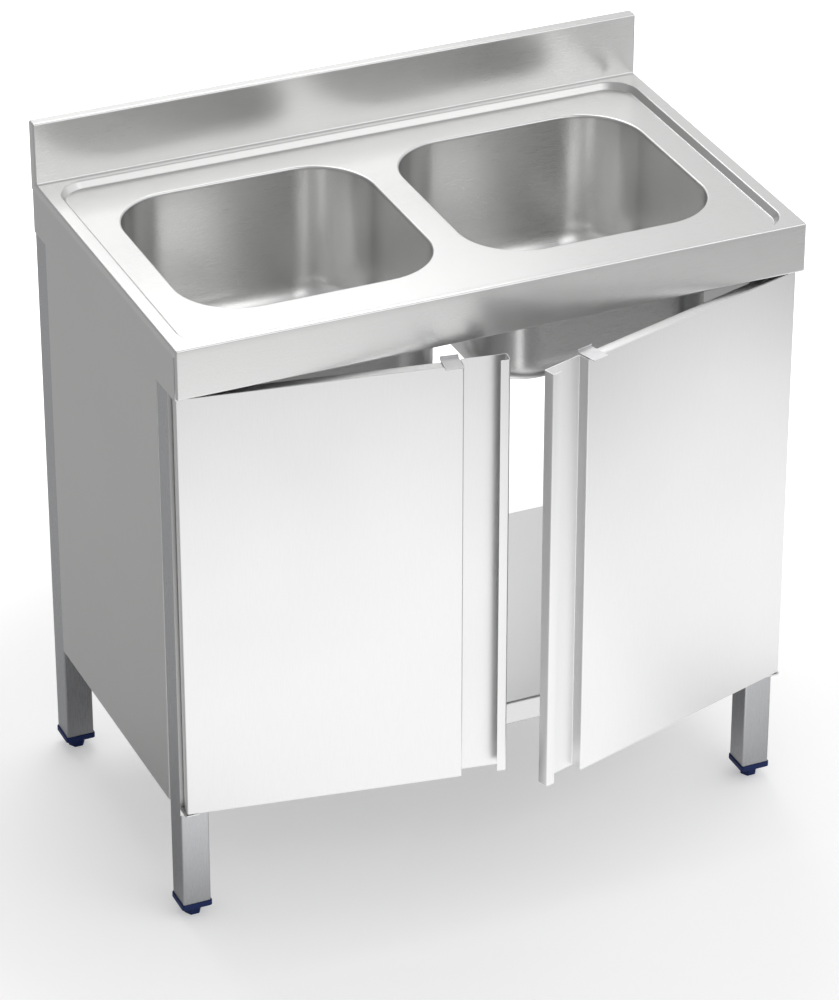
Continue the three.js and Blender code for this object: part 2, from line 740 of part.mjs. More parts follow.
function baseShelf() {
  const bend = BEND_RADIUS + SHELF_SHEET;
  const narrow = legInner - CLEARANCE;
  const wide = panelInner - CLEARANCE;
  const wideFront = betweenLegsFront + PANEL_SHEET + PANEL_BEND + CLEARANCE;
  const wideBack = betweenLegsBack - PANEL_SHEET - PANEL_BEND - CLEARANCE;
  const half = SHELF_SHEET / 2;
  const under = SHELF_HEIGHT - SHELF_SHEET;
  const plate = vectors([
    [-narrow, SHELF_SETBACK + bend],
    [narrow, SHELF_SETBACK + bend],
    [narrow, wideFront],
    [wide - bend, wideFront],
    [wide - bend, wideBack],
    [narrow, wideBack],
    [narrow, shelfBack - bend],
    [-narrow, shelfBack - bend],
    [-narrow, wideBack],
    [-wide + bend, wideBack],
    [-wide + bend, wideFront],
    [-narrow, wideFront],
  ]);
  const lip = (edge, inwards) => foldedSheet([
    [edge + inwards * SHELF_RETURN, shelfBottom + half],
    [edge + inwards * half, shelfBottom + half],
    [edge + inwards * half, SHELF_HEIGHT - half],
    [edge + inwards * SHELF_RETURN, SHELF_HEIGHT - half],
  ], SHELF_SHEET);
  const sideLip = (edge, inwards) => foldedSheet([
    [shelfBottom, edge + inwards * half],
    [SHELF_HEIGHT - half, edge + inwards * half],
    [SHELF_HEIGHT - half, edge + inwards * SHELF_RETURN],
  ], SHELF_SHEET);
  return join(
    alongZ(plate, under, SHELF_HEIGHT),
    alongX(lip(SHELF_SETBACK, 1), -narrow, narrow),
    alongX(lip(shelfBack, -1), -narrow, narrow),
    alongY(sideLip(-wide, 1), wideFront, wideBack),
    alongY(sideLip(wide, -1), wideFront, wideBack),
  );
}

// ---------------------------------------------------------------- doors

// The left door is drawn closed, about its own hinge axis at x = y = 0.
const doorFront = -DOOR_THICKNESS / 2;
const doorBack = DOOR_THICKNESS / 2;
const doorEdge = -HINGE_INSET;
const doorFree = doorEdge + doorWidth;
const panelEdge = doorFree - GRIP_WIDTH;

function doorSkin() {
  const half = DOOR_SHEET / 2;
  const outerBend = DOOR_BEND + DOOR_SHEET;
  const section = alongZ(foldedSheet([
    [doorEdge + DOOR_BACK_LIP, doorBack - half],
    [doorEdge + half, doorBack - half],
    [doorEdge + half, doorFront + half],
    [panelEdge - half, doorFront + half],
    [panelEdge - half, doorBack - half],
    [doorFree - half, doorBack - half],
    [doorFree - half, doorFront + half],
    [doorFree - GRIP_LIP, doorFront + half],
  ], DOOR_SHEET, DOOR_BEND), DOOR_BOTTOM, doorTop);
  const endFold = (level, inwards) => alongX(foldedSheet([
    [doorFront + half, level + inwards * DOOR_BACK_LIP],
    [doorFront + half, level + inwards * half],
    [doorBack - half, level + inwards * half],
    [doorBack - half, level + inwards * DOOR_BACK_LIP],
  ], DOOR_SHEET, DOOR_BEND), doorEdge, panelEdge);
  const panelPlan = alongZ(roundedOutline([
    [doorEdge, doorFront, outerBend],
    [panelEdge, doorFront, outerBend],
    [panelEdge, doorBack, 0],
    [doorEdge, doorBack, outerBend],
  ]), DOOR_BOTTOM, doorTop);
  const envelope = join(
    alongX(roundedOutline([
      [doorFront, DOOR_BOTTOM, outerBend],
      [doorBack, DOOR_BOTTOM, outerBend],
      [doorBack, doorTop, outerBend],
      [doorFront, doorTop, outerBend],
    ]), doorEdge, panelEdge),
    block(panelEdge, doorFree, doorFront, doorBack, DOOR_BOTTOM, doorTop),
  );
  const folds = join(endFold(DOOR_BOTTOM, 1), endFold(doorTop, -1)).intersect(panelPlan);
  const bushHole = BUSH_RADIUS + CLEARANCE;
  return cut(
    join(section, folds).intersect(envelope),
    rod(0, 0, bushHole, DOOR_BOTTOM - OVERLAP, DOOR_BOTTOM + BUSH_LENGTH),
    rod(0, 0, bushHole, doorTop - BUSH_LENGTH, doorTop + OVERLAP),
  );
}

// Flat sheet that closes the door's back from inside, with one return along the grip.
function doorInnerPanel() {
  const middle = doorBack - DOOR_SHEET - CLEARANCE - DOOR_SHEET / 2;
  const gripSide = panelEdge - DOOR_SHEET - CLEARANCE - DOOR_SHEET / 2;
  const path = [
    [doorEdge + DOOR_SHEET + DOOR_BEND, middle],
    [gripSide, middle],
    [gripSide, middle - INNER_PANEL_RETURN],
  ];
  const margin = DOOR_SHEET + DOOR_BEND;
  return alongZ(foldedSheet(path, DOOR_SHEET, DOOR_BEND), DOOR_BOTTOM + margin, doorTop - margin);
}

// Thin strike on top of the door at the grip's corner, turned up at the back for the magnet.
function catchPlate() {
  const middle = doorTop + CLEARANCE + DOOR_SHEET / 2;
  const back = doorBack + CATCH_BACK_OVERHANG - DOOR_SHEET / 2;
  const profile = foldedSheet([
    [doorFront - CATCH_FRONT_OVERHANG, middle],
    [back, middle],
    [back, middle - DOOR_SHEET / 2 + CATCH_UPSTAND],
  ], DOOR_SHEET, DOOR_SHEET / 2);
  const right = panelEdge - CATCH_EDGE_GAP;
  return alongX(profile, right - CATCH_WIDTH, right);
}

// Magnet block that hangs from the front rail, just behind the closed door's strike.
const magnetFace = hingeY + doorBack + CATCH_BACK_OVERHANG + MAGNET_GAP;
const magnetBack = magnetFace + MAGNET_DEPTH;
const magnetTop = doorTop + CATCH_UPSTAND + CLEARANCE;
const magnetRight = -hingeX + panelEdge - CATCH_EDGE_GAP;
const magnetLeft = magnetRight - CATCH_WIDTH;

function magnet() {
  return alongX(roundedOutline([
    [magnetFace, magnetTop - MAGNET_HEIGHT, MAGNET_ROUNDING],
    [magnetBack, magnetTop - MAGNET_HEIGHT, 0],
    [magnetBack, magnetTop, 0],
    [magnetFace, magnetTop, MAGNET_ROUNDING],
  ]), magnetLeft, magnetRight);
}

function magnetStrap() {
  const half = MAGNET_STRAP / 2;
  return alongX(foldedSheet([
    [legFront + CLEARANCE, railBottom - half],
    [magnetBack + half, railBottom - half],
    [magnetBack + half, magnetTop - MAGNET_HEIGHT],
  ], MAGNET_STRAP, PANEL_BEND), magnetLeft, magnetRight);
}

// Bush and pin of one hinge. `level` is the door's end and `away` is +1 above the door and -1
// below it. The bush is drawn in the door, the pin where the post carries it.
function hingeBush(level, away) {
  const bore = PIN_RADIUS + TURNING_CLEARANCE;
  const seat = level + away * CLEARANCE;
  const collar = seat + away * BUSH_COLLAR;
  const end = level - away * BUSH_LENGTH;
  return turned([
    [bore, collar],
    [BUSH_COLLAR_RADIUS, collar],
    [BUSH_COLLAR_RADIUS, seat],
    [BUSH_RADIUS, seat],
    [BUSH_RADIUS, end],
    [bore, end],
    [bore, collar],
  ], 0, 0, PIN_STEPS);
}

function hingePin(level, away) {
  const headNear = level + away * (HINGE_GAP + POST_TAB + CLEARANCE);
  const headFar = headNear + away * PIN_HEAD_HEIGHT;
  const tip = level - away * BUSH_LENGTH;
  return turned([
    [0, headFar],
    [PIN_HEAD_RADIUS - PIN_CHAMFER, headFar],
    [PIN_HEAD_RADIUS, headFar - away * PIN_CHAMFER],
    [PIN_HEAD_RADIUS, headNear],
    [PIN_RADIUS, headNear],
    [PIN_RADIUS, tip + away * PIN_CHAMFER],
    [PIN_RADIUS - PIN_CHAMFER, tip],
    [0, tip],
  ], -hingeX, hingeY, PIN_STEPS);
}

// Strip down the front of the leg with a tab above and one below the door for its pins. Above
// the band's lower edge it stays inside the side panel.
function hingePost() {
  const outer = -panelOuter;
  const inner = outer + POST_WIDTH;
  const besidePanel = -panelInner + CLEARANCE;
  const tabFront = hingeY + doorFront + CLEARANCE;
  const face = legFront - POST_SHEET;
  const topTab = doorTop + HINGE_GAP;
  const bottomTab = DOOR_BOTTOM - HINGE_GAP;
  const tab = (left, z0, z1) => alongZ(roundedOutline([
    [left, legFront, 0],
    [left, tabFront, POST_TAB_CORNER],
    [inner, tabFront, POST_TAB_CORNER],
    [inner, legFront, 0],
  ]), z0, z1);
  return cut(
    join(
      block(outer, inner, face, legFront, PANEL_BOTTOM, panelBand - CLEARANCE),
      block(besidePanel, inner, face, legFront, panelBand - OVERLAP, topTab + POST_TAB),
      tab(besidePanel, topTab, topTab + POST_TAB),
      tab(outer, bottomTab - POST_TAB, bottomTab),
    ),
    rod(-hingeX, hingeY, PIN_RADIUS + CLEARANCE, topTab - OVERLAP, topTab + POST_TAB + OVERLAP),
    rod(-hingeX, hingeY, PIN_RADIUS + CLEARANCE, bottomTab - POST_TAB - OVERLAP, bottomTab + OVERLAP),
  );
}

// ---------------------------------------------------------------- assembly

// How far forward the rounded free corner of a door comes when it is ajar. The door that stands
// out further sets the front of the footprint.
function doorReach(ajar) {
  const angle = THREE.MathUtils.degToRad(ajar);
  const bend = DOOR_BEND + DOOR_SHEET;
  return hingeY - (doorFree - bend) * Math.sin(angle) + (doorFront + bend) * Math.cos(angle) - bend;
}

const footprintFront = Math.min(0, doorReach(LEFT_DOOR_AJAR), doorReach(RIGHT_DOOR_AJAR));

const unit = new THREE.Group();
unit.position.y = -(footprintFront + UNIT_DEPTH) / 2;

function add(parent, name, geometry, material) {
  const mesh = new THREE.Mesh(geometry, material);
  mesh.name = name;
  parent.add(mesh);
}

// A piece drawn for the left side and the same piece mirrored for the right.
function addPair(name, body, material, parents = [unit, unit]) {
  const geometry = geometryOf(body);
  add(parents[0], name.replace('SIDE', 'left'), geometry, material);
  add(parents[1], name.replace('SIDE', 'right'), mirrored(geometry), material);
}

add(unit, 'worktop', geometryOf(worktop()), brushedSteel);
addPair('bowl_SIDE', bowl(), bowlSteel);
addPair('waste_strainer_SIDE', wasteStrainer(), pinSteel);
addPair('waste_washer_SIDE', wasteWasher(), blackRubber);
addPair('waste_nut_SIDE', wasteNut(), magnetPlastic);

[['front', legFront + LEG_SIZE / 2], ['rear', legBack - LEG_SIZE / 2]].forEach(([row, y]) => {
  addPair(`leg_${row}_SIDE`, leg(-legCentreX, y), tubeSteel);
  addPair(`leg_cap_${row}_SIDE`, legCap(-legCentreX, y), navyPlastic);
  addPair(`foot_${row}_SIDE`, foot(-legCentreX, y), navyPlastic);
});

add(unit, 'frame_front_rail', geometryOf(crossRail(legFront)), tubeSteel);
add(unit, 'frame_rear_rail', geometryOf(crossRail(legBack - RAIL_DEPTH)), tubeSteel);
addPair('frame_side_rail_SIDE', sideRail(), tubeSteel);
add(unit, 'worktop_stiffener', geometryOf(worktopStiffener()), tubeSteel);
addPair('side_panel_SIDE', sidePanel(), brushedSteel);
add(unit, 'base_shelf', geometryOf(baseShelf()), brushedSteel);
add(unit, 'shelf_stiffener', geometryOf(shelfStiffener()), tubeSteel);
addPair('hinge_post_SIDE', hingePost(), brushedSteel);
addPair('catch_magnet_SIDE', magnet(), magnetPlastic);
addPair('catch_strap_SIDE', magnetStrap(), tubeSteel);

const doors = [[-1, LEFT_DOOR_AJAR], [1, RIGHT_DOOR_AJAR]].map(([side, ajar]) => {
  const door = new THREE.Group();
  door.position.set(side * hingeX, hingeY, 0);
  door.rotation.z = side * THREE.MathUtils.degToRad(ajar);
  unit.add(door);
  return door;
});

addPair('door_SIDE_skin', doorSkin(), doorSteel, doors);
addPair('door_SIDE_inner_panel', doorInnerPanel(), doorSteel, doors);
addPair('catch_plate_SIDE', catchPlate(), catchSteel, doors);

[['top', doorTop, 1], ['bottom', DOOR_BOTTOM, -1]].forEach(([end, level, away]) => {
  addPair(`hinge_bush_SIDE_${end}`, hingeBush(level, away), nylon, doors);
  addPair(`hinge_pin_SIDE_${end}`, hingePin(level, away), pinSteel);
});

export default unit;
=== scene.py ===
# %% [markdown]
# # A free-standing stainless-steel sink unit
#
# The measured model of the unit is already packed as a fixed frame: every piece has its place,
# and the doors and feet know how they move. Here each piece gets its looks. The sheet-metal
# pieces that catch the eye are modelled again with round bends, and the others keep their
# measured shape and get a finish. Lengths are in metres, +Z is up and the doors face -Y.

import json
from math import cos, hypot, pi, radians, sin, tan

import bmesh
import bpy
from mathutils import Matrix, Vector


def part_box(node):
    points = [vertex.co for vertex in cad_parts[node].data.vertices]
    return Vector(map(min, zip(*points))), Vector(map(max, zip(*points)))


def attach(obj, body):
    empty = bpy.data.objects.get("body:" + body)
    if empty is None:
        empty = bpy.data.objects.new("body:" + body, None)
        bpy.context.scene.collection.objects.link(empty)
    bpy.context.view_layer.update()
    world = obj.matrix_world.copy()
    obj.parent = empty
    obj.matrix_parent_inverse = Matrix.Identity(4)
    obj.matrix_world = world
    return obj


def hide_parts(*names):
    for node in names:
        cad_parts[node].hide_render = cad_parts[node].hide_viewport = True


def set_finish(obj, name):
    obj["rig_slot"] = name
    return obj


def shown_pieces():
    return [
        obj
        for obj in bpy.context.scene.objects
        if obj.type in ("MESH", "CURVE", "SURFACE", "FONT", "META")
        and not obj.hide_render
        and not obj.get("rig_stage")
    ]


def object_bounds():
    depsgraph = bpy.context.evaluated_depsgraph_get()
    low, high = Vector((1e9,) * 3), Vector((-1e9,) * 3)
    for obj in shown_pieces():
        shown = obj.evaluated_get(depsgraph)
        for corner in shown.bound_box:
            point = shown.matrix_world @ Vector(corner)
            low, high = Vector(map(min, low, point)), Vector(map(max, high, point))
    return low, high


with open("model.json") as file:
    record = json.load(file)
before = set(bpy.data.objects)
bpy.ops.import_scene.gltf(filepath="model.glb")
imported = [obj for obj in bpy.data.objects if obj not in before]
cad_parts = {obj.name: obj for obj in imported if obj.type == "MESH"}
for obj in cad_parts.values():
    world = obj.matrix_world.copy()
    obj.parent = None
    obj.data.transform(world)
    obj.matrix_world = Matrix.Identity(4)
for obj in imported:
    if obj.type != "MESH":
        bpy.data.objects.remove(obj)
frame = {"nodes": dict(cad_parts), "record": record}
cad_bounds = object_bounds()
print("pieces in the frame:", len(frame["nodes"]))

# %% [markdown]
# Everything is placed from the frame's own boxes. The worktop's box gives the front, the back
# and both ends of the unit, so a piece can be laid out from the front of the worktop, in
# millimetres as on a workshop drawing, and turned into a place in the frame by one function.

# %% Places
MM = 0.001
worktop_low, worktop_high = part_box("worktop")
FRONT = worktop_low[1]
HALF_WIDTH = worktop_high[0] / MM
DEPTH = (worktop_high[1] - worktop_low[1]) / MM


def at(x, y, z):
    """A place in the frame, from millimetres right of the middle, behind the front and up."""
    return Vector((x * MM, FRONT + y * MM, z * MM))


print("worktop: %.0f mm wide, %.0f mm deep" % (2 * HALF_WIDTH, DEPTH))

# %% [markdown]
# Modelling by hand goes through three moves: start a piece from a primitive, pick some of its
# faces or edges, and run a tool on them. These helpers do the first two. A primitive is scaled
# and its place applied at once, so that the piece's origin stays at the frame's origin, as the
# measured pieces have it.

# %% Start a piece and pick parts of it
def start(primitive, name, low=None, high=None, **settings):
    """Adds a primitive between two corners and enters edit mode with all of it selected."""
    bpy.ops.object.select_all(action="DESELECT")
    if low is not None:
        settings.update(location=(low + high) / 2, size=1)
    primitive(**settings)
    piece = bpy.context.object
    piece.name = piece.data.name = name
    if low is not None:
        piece.scale = high - low
    bpy.ops.object.transform_apply(location=True, rotation=True, scale=True)
    bpy.ops.object.mode_set(mode="EDIT")
    return piece


def add_plate(low, high):
    """Adds a flat rectangle inside the piece that is in edit mode, and leaves it selected."""
    bpy.ops.mesh.select_all(action="DESELECT")
    bpy.ops.mesh.primitive_plane_add(size=1, location=(low + high) / 2)
    bpy.ops.transform.resize(
        value=(high.x - low.x, high.y - low.y, 1), center_override=(low + high) / 2
    )


def middle(item):
    """The middle of a vertex, an edge or a face."""
    if isinstance(item, bmesh.types.BMVert):
        return item.co
    return sum((v.co for v in item.verts), Vector()) / len(item.verts)


def pick(kind, test):
    """Selects the vertices, edges or faces that pass a test, and nothing else."""
    bpy.ops.mesh.select_mode(type=kind)
    bpy.ops.mesh.select_all(action="DESELECT")
    mesh = bmesh.from_edit_mesh(bpy.context.edit_object.data)
    items = {"VERT": mesh.verts, "EDGE": mesh.edges, "FACE": mesh.faces}[kind]
    chosen = [item for item in items if test(item)]
    for item in chosen:
        item.select_set(True)
    mesh.select_flush_mode()
    bmesh.update_edit_mesh(bpy.context.edit_object.data)
    return len(chosen)


def near(value, wanted):
    """Whether two places along an axis agree to a fiftieth of a millimetre."""
    return abs(value - wanted) < 0.02 * MM


def is_sharp(edge):
    """Whether two faces meet at the edge at more than 30 degrees."""
    return len(edge.link_faces) == 2 and edge.calc_face_angle() > radians(30)


# %% [markdown]
# What is left to do is the same for every piece. Points that lie on each other are merged and
# the faces are turned out, because a wall grows to the wrong side on a face that points in.
# Modifiers are applied one by one, and the shading keeps the flats flat between round bends.

# %% Finish a piece
def apply_modifier(piece, kind, **settings):
    """Adds a modifier, sets it up and applies it."""
    bpy.context.view_layer.objects.active = piece
    modifier = piece.modifiers.new(kind.title(), kind)
    for name, value in settings.items():
        setattr(modifier, name, value)
    bpy.ops.object.modifier_apply(modifier=modifier.name)


def finish_mesh(piece):
    """Merges doubled points, turns the faces out and leaves edit mode."""
    bpy.ops.mesh.select_mode(type="VERT")
    bpy.ops.mesh.select_all(action="SELECT")
    bpy.ops.mesh.remove_doubles(threshold=0.005 * MM)
    bpy.ops.mesh.normals_make_consistent(inside=False)
    bpy.ops.object.mode_set(mode="OBJECT")


def join(*pieces):
    """Selects pieces and joins them into one; the last of them keeps its name."""
    bpy.ops.object.select_all(action="DESELECT")
    for piece in pieces:
        piece.select_set(True)
    bpy.context.view_layer.objects.active = pieces[-1]
    if len(pieces) > 1:
        bpy.ops.object.join()


def edit(piece):
    """Enters edit mode with all of one piece selected."""
    join(piece)
    bpy.ops.object.mode_set(mode="EDIT")
    bpy.ops.mesh.select_all(action="SELECT")


def shade(piece, angle=40):
    """Shades the bends round and the flats flat."""
    join(piece)
    bpy.ops.object.shade_smooth_by_angle(angle=radians(angle))
    apply_modifier(piece, "WEIGHTED_NORMAL", weight=100, keep_sharp=True)
    print("%s: %d faces" % (piece.name, len(piece.data.polygons)))


# %% [markdown]
# ## Bends
#
# Sheet metal doesn't have sharp corners: it turns through a small radius. A bend is drawn here
# as a run of short steps along an arc. Each step says how far it goes in and how far it drops,
# and the inset tool takes exactly these two numbers, so one list of steps shapes a pressed
# ledge, a rolled lip or the deep round foot of a bowl all the way round an outline at once.

# %% Steps along a bend
def bend(radius, start_slope, end_slope, steps):
    """(in, down) steps of an arc whose slope below the level goes from one angle to the other."""
    turn = radians(end_slope - start_slope) / steps
    chord = 2 * radius * sin(abs(turn) / 2)
    slopes = [radians(start_slope) + turn * (i + 0.5) for i in range(steps)]
    return [(chord * cos(slope), chord * sin(slope)) for slope in slopes]


def press(steps):
    """Insets the selected face once for each (in, down) step, in millimetres."""
    for inwards, down in steps:
        bpy.ops.mesh.inset(thickness=max(inwards, 0) * MM, depth=-down * MM, use_even_offset=True)


quarter = bend(4, 0, 90, 6)
print("a quarter bend of 4 mm goes %.2f in and %.2f down" % tuple(map(sum, zip(*quarter))))

# %% [markdown]
# Nearly every pressed form starts from the same outline, a rectangle with round corners. It
# could be drawn point by point, but bevelling the corner points of a plain rectangle gives true
# quarter circles and takes two steps.

# %% The outline of a pressed form
def rounded_plate(x, y, z, half_x, half_y, corner, segments):
    """A flat plate with round corners in the piece being edited; it stays selected."""
    add_plate(at(x - half_x, y - half_y, z), at(x + half_x, y + half_y, z))
    bpy.ops.mesh.bevel(
        offset=corner * MM, segments=segments, affect="VERTICES", clamp_overlap=False
    )


# %% [markdown]
# ## The worktop
#
# The worktop is one folded and pressed sheet: an apron in front, a flange at each side, a
# hollow splashback behind, a sunk field and two openings with rolled lips. It could be cut out
# of a block, but a sheet is easier to get right as a skin. A box is given its splashback and
# its round edges, what isn't sheet is deleted, and thickness comes last.

# %% Worktop: the outside of the box
SHEET = 1.2
TOP = 1000
APRON = 80
FLANGE = 13
SPLASH_HEIGHT = 100
SPLASH_DEPTH = 20
OUTER_BEND = 3.2
splash_front = DEPTH - SPLASH_DEPTH

worktop = start(
    bpy.ops.mesh.primitive_cube_add,
    "worktop_pressing",
    at(-HALF_WIDTH, 0, TOP - APRON),
    at(HALF_WIDTH, DEPTH, TOP),
)
bpy.ops.mesh.bisect(plane_co=at(0, splash_front, 0), plane_no=(0, 1, 0))
pick("FACE", lambda f: f.normal.z > 0.9 and middle(f).y > at(0, splash_front, 0).y)
bpy.ops.mesh.extrude_region_move(TRANSFORM_OT_translate={"value": (0, 0, SPLASH_HEIGHT * MM)})
rounded = pick("EDGE", is_sharp)
bpy.ops.mesh.bevel(offset=OUTER_BEND * MM, segments=4, affect="EDGES", clamp_overlap=False)
print("rounded edges:", rounded)

# %% [markdown]
# Only the sheet stays. The flat top goes, because the sunk field takes its place, and so does
# everything below the side flanges except the apron, its round ends and the lip that turns back
# under it. The lip's free edge is then turned up as a hem.

# %% Worktop: cut away what isn't sheet
APRON_END = 5
APRON_RETURN = 12
APRON_HEM = 9

pick("FACE", lambda f: f.normal.z > 0.99 and near(middle(f).z, at(0, 0, TOP).z))
bpy.ops.mesh.delete(type="ONLY_FACE")
for place, direction in (
    (at(0, 0, TOP - FLANGE), (0, 0, 1)),
    (at(0, APRON_END, 0), (0, 1, 0)),
    (at(0, APRON_RETURN, 0), (0, 1, 0)),
):
    bpy.ops.mesh.select_all(action="SELECT")
    bpy.ops.mesh.bisect(plane_co=place, plane_no=direction)


def isnt_sheet(face):
    place = middle(face)
    if place.z > at(0, 0, TOP - FLANGE).z:
        return False
    if face.normal.z < -0.99:
        return place.y > at(0, APRON_RETURN, 0).y
    return place.y > at(0, APRON_END, 0).y


removed = pick("FACE", isnt_sheet)
bpy.ops.mesh.delete(type="FACE")
pick("EDGE", lambda e: e.is_boundary and near(middle(e).y, at(0, APRON_RETURN, 0).y)
     and middle(e).z < at(0, 0, TOP - APRON + 1).z)
bpy.ops.mesh.extrude_region_move(TRANSFORM_OT_translate={"value": (0, 0, APRON_HEM * MM)})
print("faces that weren't sheet:", removed)

# %% [markdown]
# The sunk field is pressed 10 mm down inside a low rim that keeps water off the floor. Its
# outline is a rectangle with round corners: a flat plate whose corner points are bevelled. The
# inset tool then carries that outline over the edge, down the slope and into the flat.

# %% Worktop: the sunk field
RIM_FRONT, RIM_SIDE, RIM_BACK = 10, 22, 13
RECESS_DEPTH = 10
RECESS_RUN = 7
RECESS_CORNER = 47
INNER_BEND = 2

slope = 55
slope_length = hypot(RECESS_RUN, RECESS_DEPTH)
over = OUTER_BEND * tan(radians(slope) / 2)
into = INNER_BEND * tan(radians(slope) / 2)
recess_y = (RIM_FRONT + splash_front - RIM_BACK) / 2
recess_half_x = HALF_WIDTH - RIM_SIDE + over
recess_half_y = (splash_front - RIM_BACK - RIM_FRONT) / 2 + over

rounded_plate(0, recess_y, TOP, recess_half_x, recess_half_y, RECESS_CORNER + over, 12)
straight = slope_length - over - into
press(bend(OUTER_BEND, 0, slope, 5))
press([(straight * cos(radians(slope)), straight * sin(radians(slope)))])
press(bend(INNER_BEND, slope, 0, 4))
pressed = [v.co.z for v in bmesh.from_edit_mesh(worktop.data).verts if v.select]
bpy.ops.mesh.delete(type="ONLY_FACE")
print("the field lies %.2f mm below the rim" % ((at(0, 0, TOP).z - min(pressed)) / MM))

# %% [markdown]
# Each bowl opening has a lip that rolls over from the field into the bowl. The same tool makes
# it: a plate a little larger than the opening is pressed down round a quarter circle. The rim
# and the field are then the flat areas left between the outlines, and Fill closes them, leaving
# the openings open. Last, the skin is given the thickness of the sheet.

# %% Worktop: bowl lips, rim, field and thickness
BOWL_X = 225
BOWL_Y = 300
BOWL_HALF = 200 - SHEET
BOWL_CORNER = 100 - SHEET
LIP_BEND = 3.7
LIP_DROP = 6
BOWL_SEGMENTS = 18
FIELD = TOP - RECESS_DEPTH

for side in (-1, 1):
    rounded_plate(side * BOWL_X, BOWL_Y, FIELD, BOWL_HALF + LIP_BEND, BOWL_HALF + LIP_BEND,
                  BOWL_CORNER + LIP_BEND, BOWL_SEGMENTS)
    press(bend(LIP_BEND, 0, 90, 6))
    press([(0, LIP_DROP - LIP_BEND)])
    bpy.ops.mesh.delete(type="ONLY_FACE")

for level in (TOP, FIELD):
    pick("EDGE", lambda e: e.is_boundary and all(near(v.co.z, at(0, 0, level).z) for v in e.verts))
    bpy.ops.mesh.fill(use_beauty=True)
finish_mesh(worktop)
rim = [f for f in worktop.data.polygons
       if near(f.center.z, at(0, 0, TOP).z) and abs(f.normal.z) > 0.99]
print("rim faces up:", sum(f.normal.z > 0 for f in rim), "of", len(rim))
apply_modifier(worktop, "SOLIDIFY", thickness=SHEET * MM, offset=-1, use_even_offset=True)
shade(worktop)
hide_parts("worktop")
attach(worktop, "sink_unit")
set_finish(worktop, "worktop_steel")

# %% [markdown]
# ## The bowls
#
# A bowl is drawn from one flat disc of sheet in a deep press, so it has upright walls, round
# corners and a large radius where the walls meet the floor. The floor falls a little towards a
# shallow well that holds the waste. The outline is pressed down as before, and then bridged to
# the well's circle. The circle has as many points as the outline, so that every face of the
# bridge has four corners.

# %% Bowl: walls, floor and well
BOWL_BASE = TOP - 250
FLOOR_BEND = 60 - SHEET
FLOOR_FALL = 3
WELL_MOUTH = 47
WELL_STEPS = [(0.6, 0.1), (0.7, 0.4), (0.7, 1.0), (0.9, 2.4), (0.7, 0.8), (0.8, 0.3)]
WELL_DEPTH = 5
WELL_FLAT = 16
LONG_EDGE = 60 * MM

bowl_left = start(bpy.ops.mesh.primitive_plane_add, "bowl_left_shell",
                  at(-BOWL_X - BOWL_HALF, BOWL_Y - BOWL_HALF, FIELD - LIP_DROP),
                  at(-BOWL_X + BOWL_HALF, BOWL_Y + BOWL_HALF, FIELD - LIP_DROP))
bpy.ops.mesh.select_all(action="SELECT")
bpy.ops.mesh.bevel(offset=BOWL_CORNER * MM, segments=BOWL_SEGMENTS, affect="VERTICES",
                   clamp_overlap=False)
pick("EDGE", lambda e: e.calc_length() > LONG_EDGE)
bpy.ops.mesh.subdivide(number_cuts=11)
pick("FACE", lambda f: True)
outline_points = len(bmesh.from_edit_mesh(bowl_left.data).verts)
press([(0, FIELD - LIP_DROP - (BOWL_BASE + SHEET + FLOOR_BEND))])
press(bend(FLOOR_BEND, 90, 0, 14))
bpy.ops.mesh.delete(type="ONLY_FACE")

rim_of_floor = BOWL_BASE + SHEET
bpy.ops.mesh.select_all(action="DESELECT")
bpy.ops.mesh.primitive_circle_add(
    vertices=outline_points, radius=WELL_MOUTH * MM, fill_type="NGON",
    location=at(-BOWL_X, BOWL_Y, rim_of_floor - FLOOR_FALL))
pick("FACE", lambda f: len(f.verts) == outline_points)
press(WELL_STEPS)
press([(WELL_FLAT, 0)])
bpy.ops.mesh.delete(type="ONLY_FACE")
pick("EDGE", lambda e: e.is_boundary
     and at(0, 0, rim_of_floor - FLOOR_FALL - 0.5).z < middle(e).z < at(0, 0, rim_of_floor + 0.5).z)
bpy.ops.mesh.bridge_edge_loops(number_cuts=3)
finish_mesh(bowl_left)
floor_spot = at(-BOWL_X, BOWL_Y + 60, rim_of_floor - FLOOR_FALL)
floor_face = min(bowl_left.data.polygons, key=lambda f: (f.center - floor_spot).length)
if floor_face.normal.z < 0:
    bowl_left.data.flip_normals()
apply_modifier(bowl_left, "SOLIDIFY", thickness=SHEET * MM, offset=-1, use_even_offset=True)
shade(bowl_left)
print("points round the outline:", outline_points)

# %% [markdown]
# What repeats is made once. The second bowl is a copy with a mesh of its own, moved across, and
# each bowl is then told which measured piece it stands for. The boxes of the two say whether
# the new shape has the size and the place of the measured one.

# %% Copies
def copy_of(piece, name, shift):
    """A copy with its own mesh, moved by a distance in the frame."""
    twin = piece.copy()
    twin.data = piece.data.copy()
    twin.name = twin.data.name = name
    bpy.context.scene.collection.objects.link(twin)
    edit(twin)
    bpy.ops.transform.translate(value=shift)
    bpy.ops.object.mode_set(mode="OBJECT")
    return twin


def stands_for(piece, node, body, slot):
    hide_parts(node)
    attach(piece, body)
    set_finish(piece, slot)


def offset_from(piece, node):
    """How far the piece's box is from the measured node's, in millimetres."""
    low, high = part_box(node)
    corners = [v.co for v in piece.data.vertices]
    gaps = [min(c[i] for c in corners) - low[i] for i in range(3)]
    gaps += [max(c[i] for c in corners) - high[i] for i in range(3)]
    return [round(gap / MM, 2) for gap in gaps]


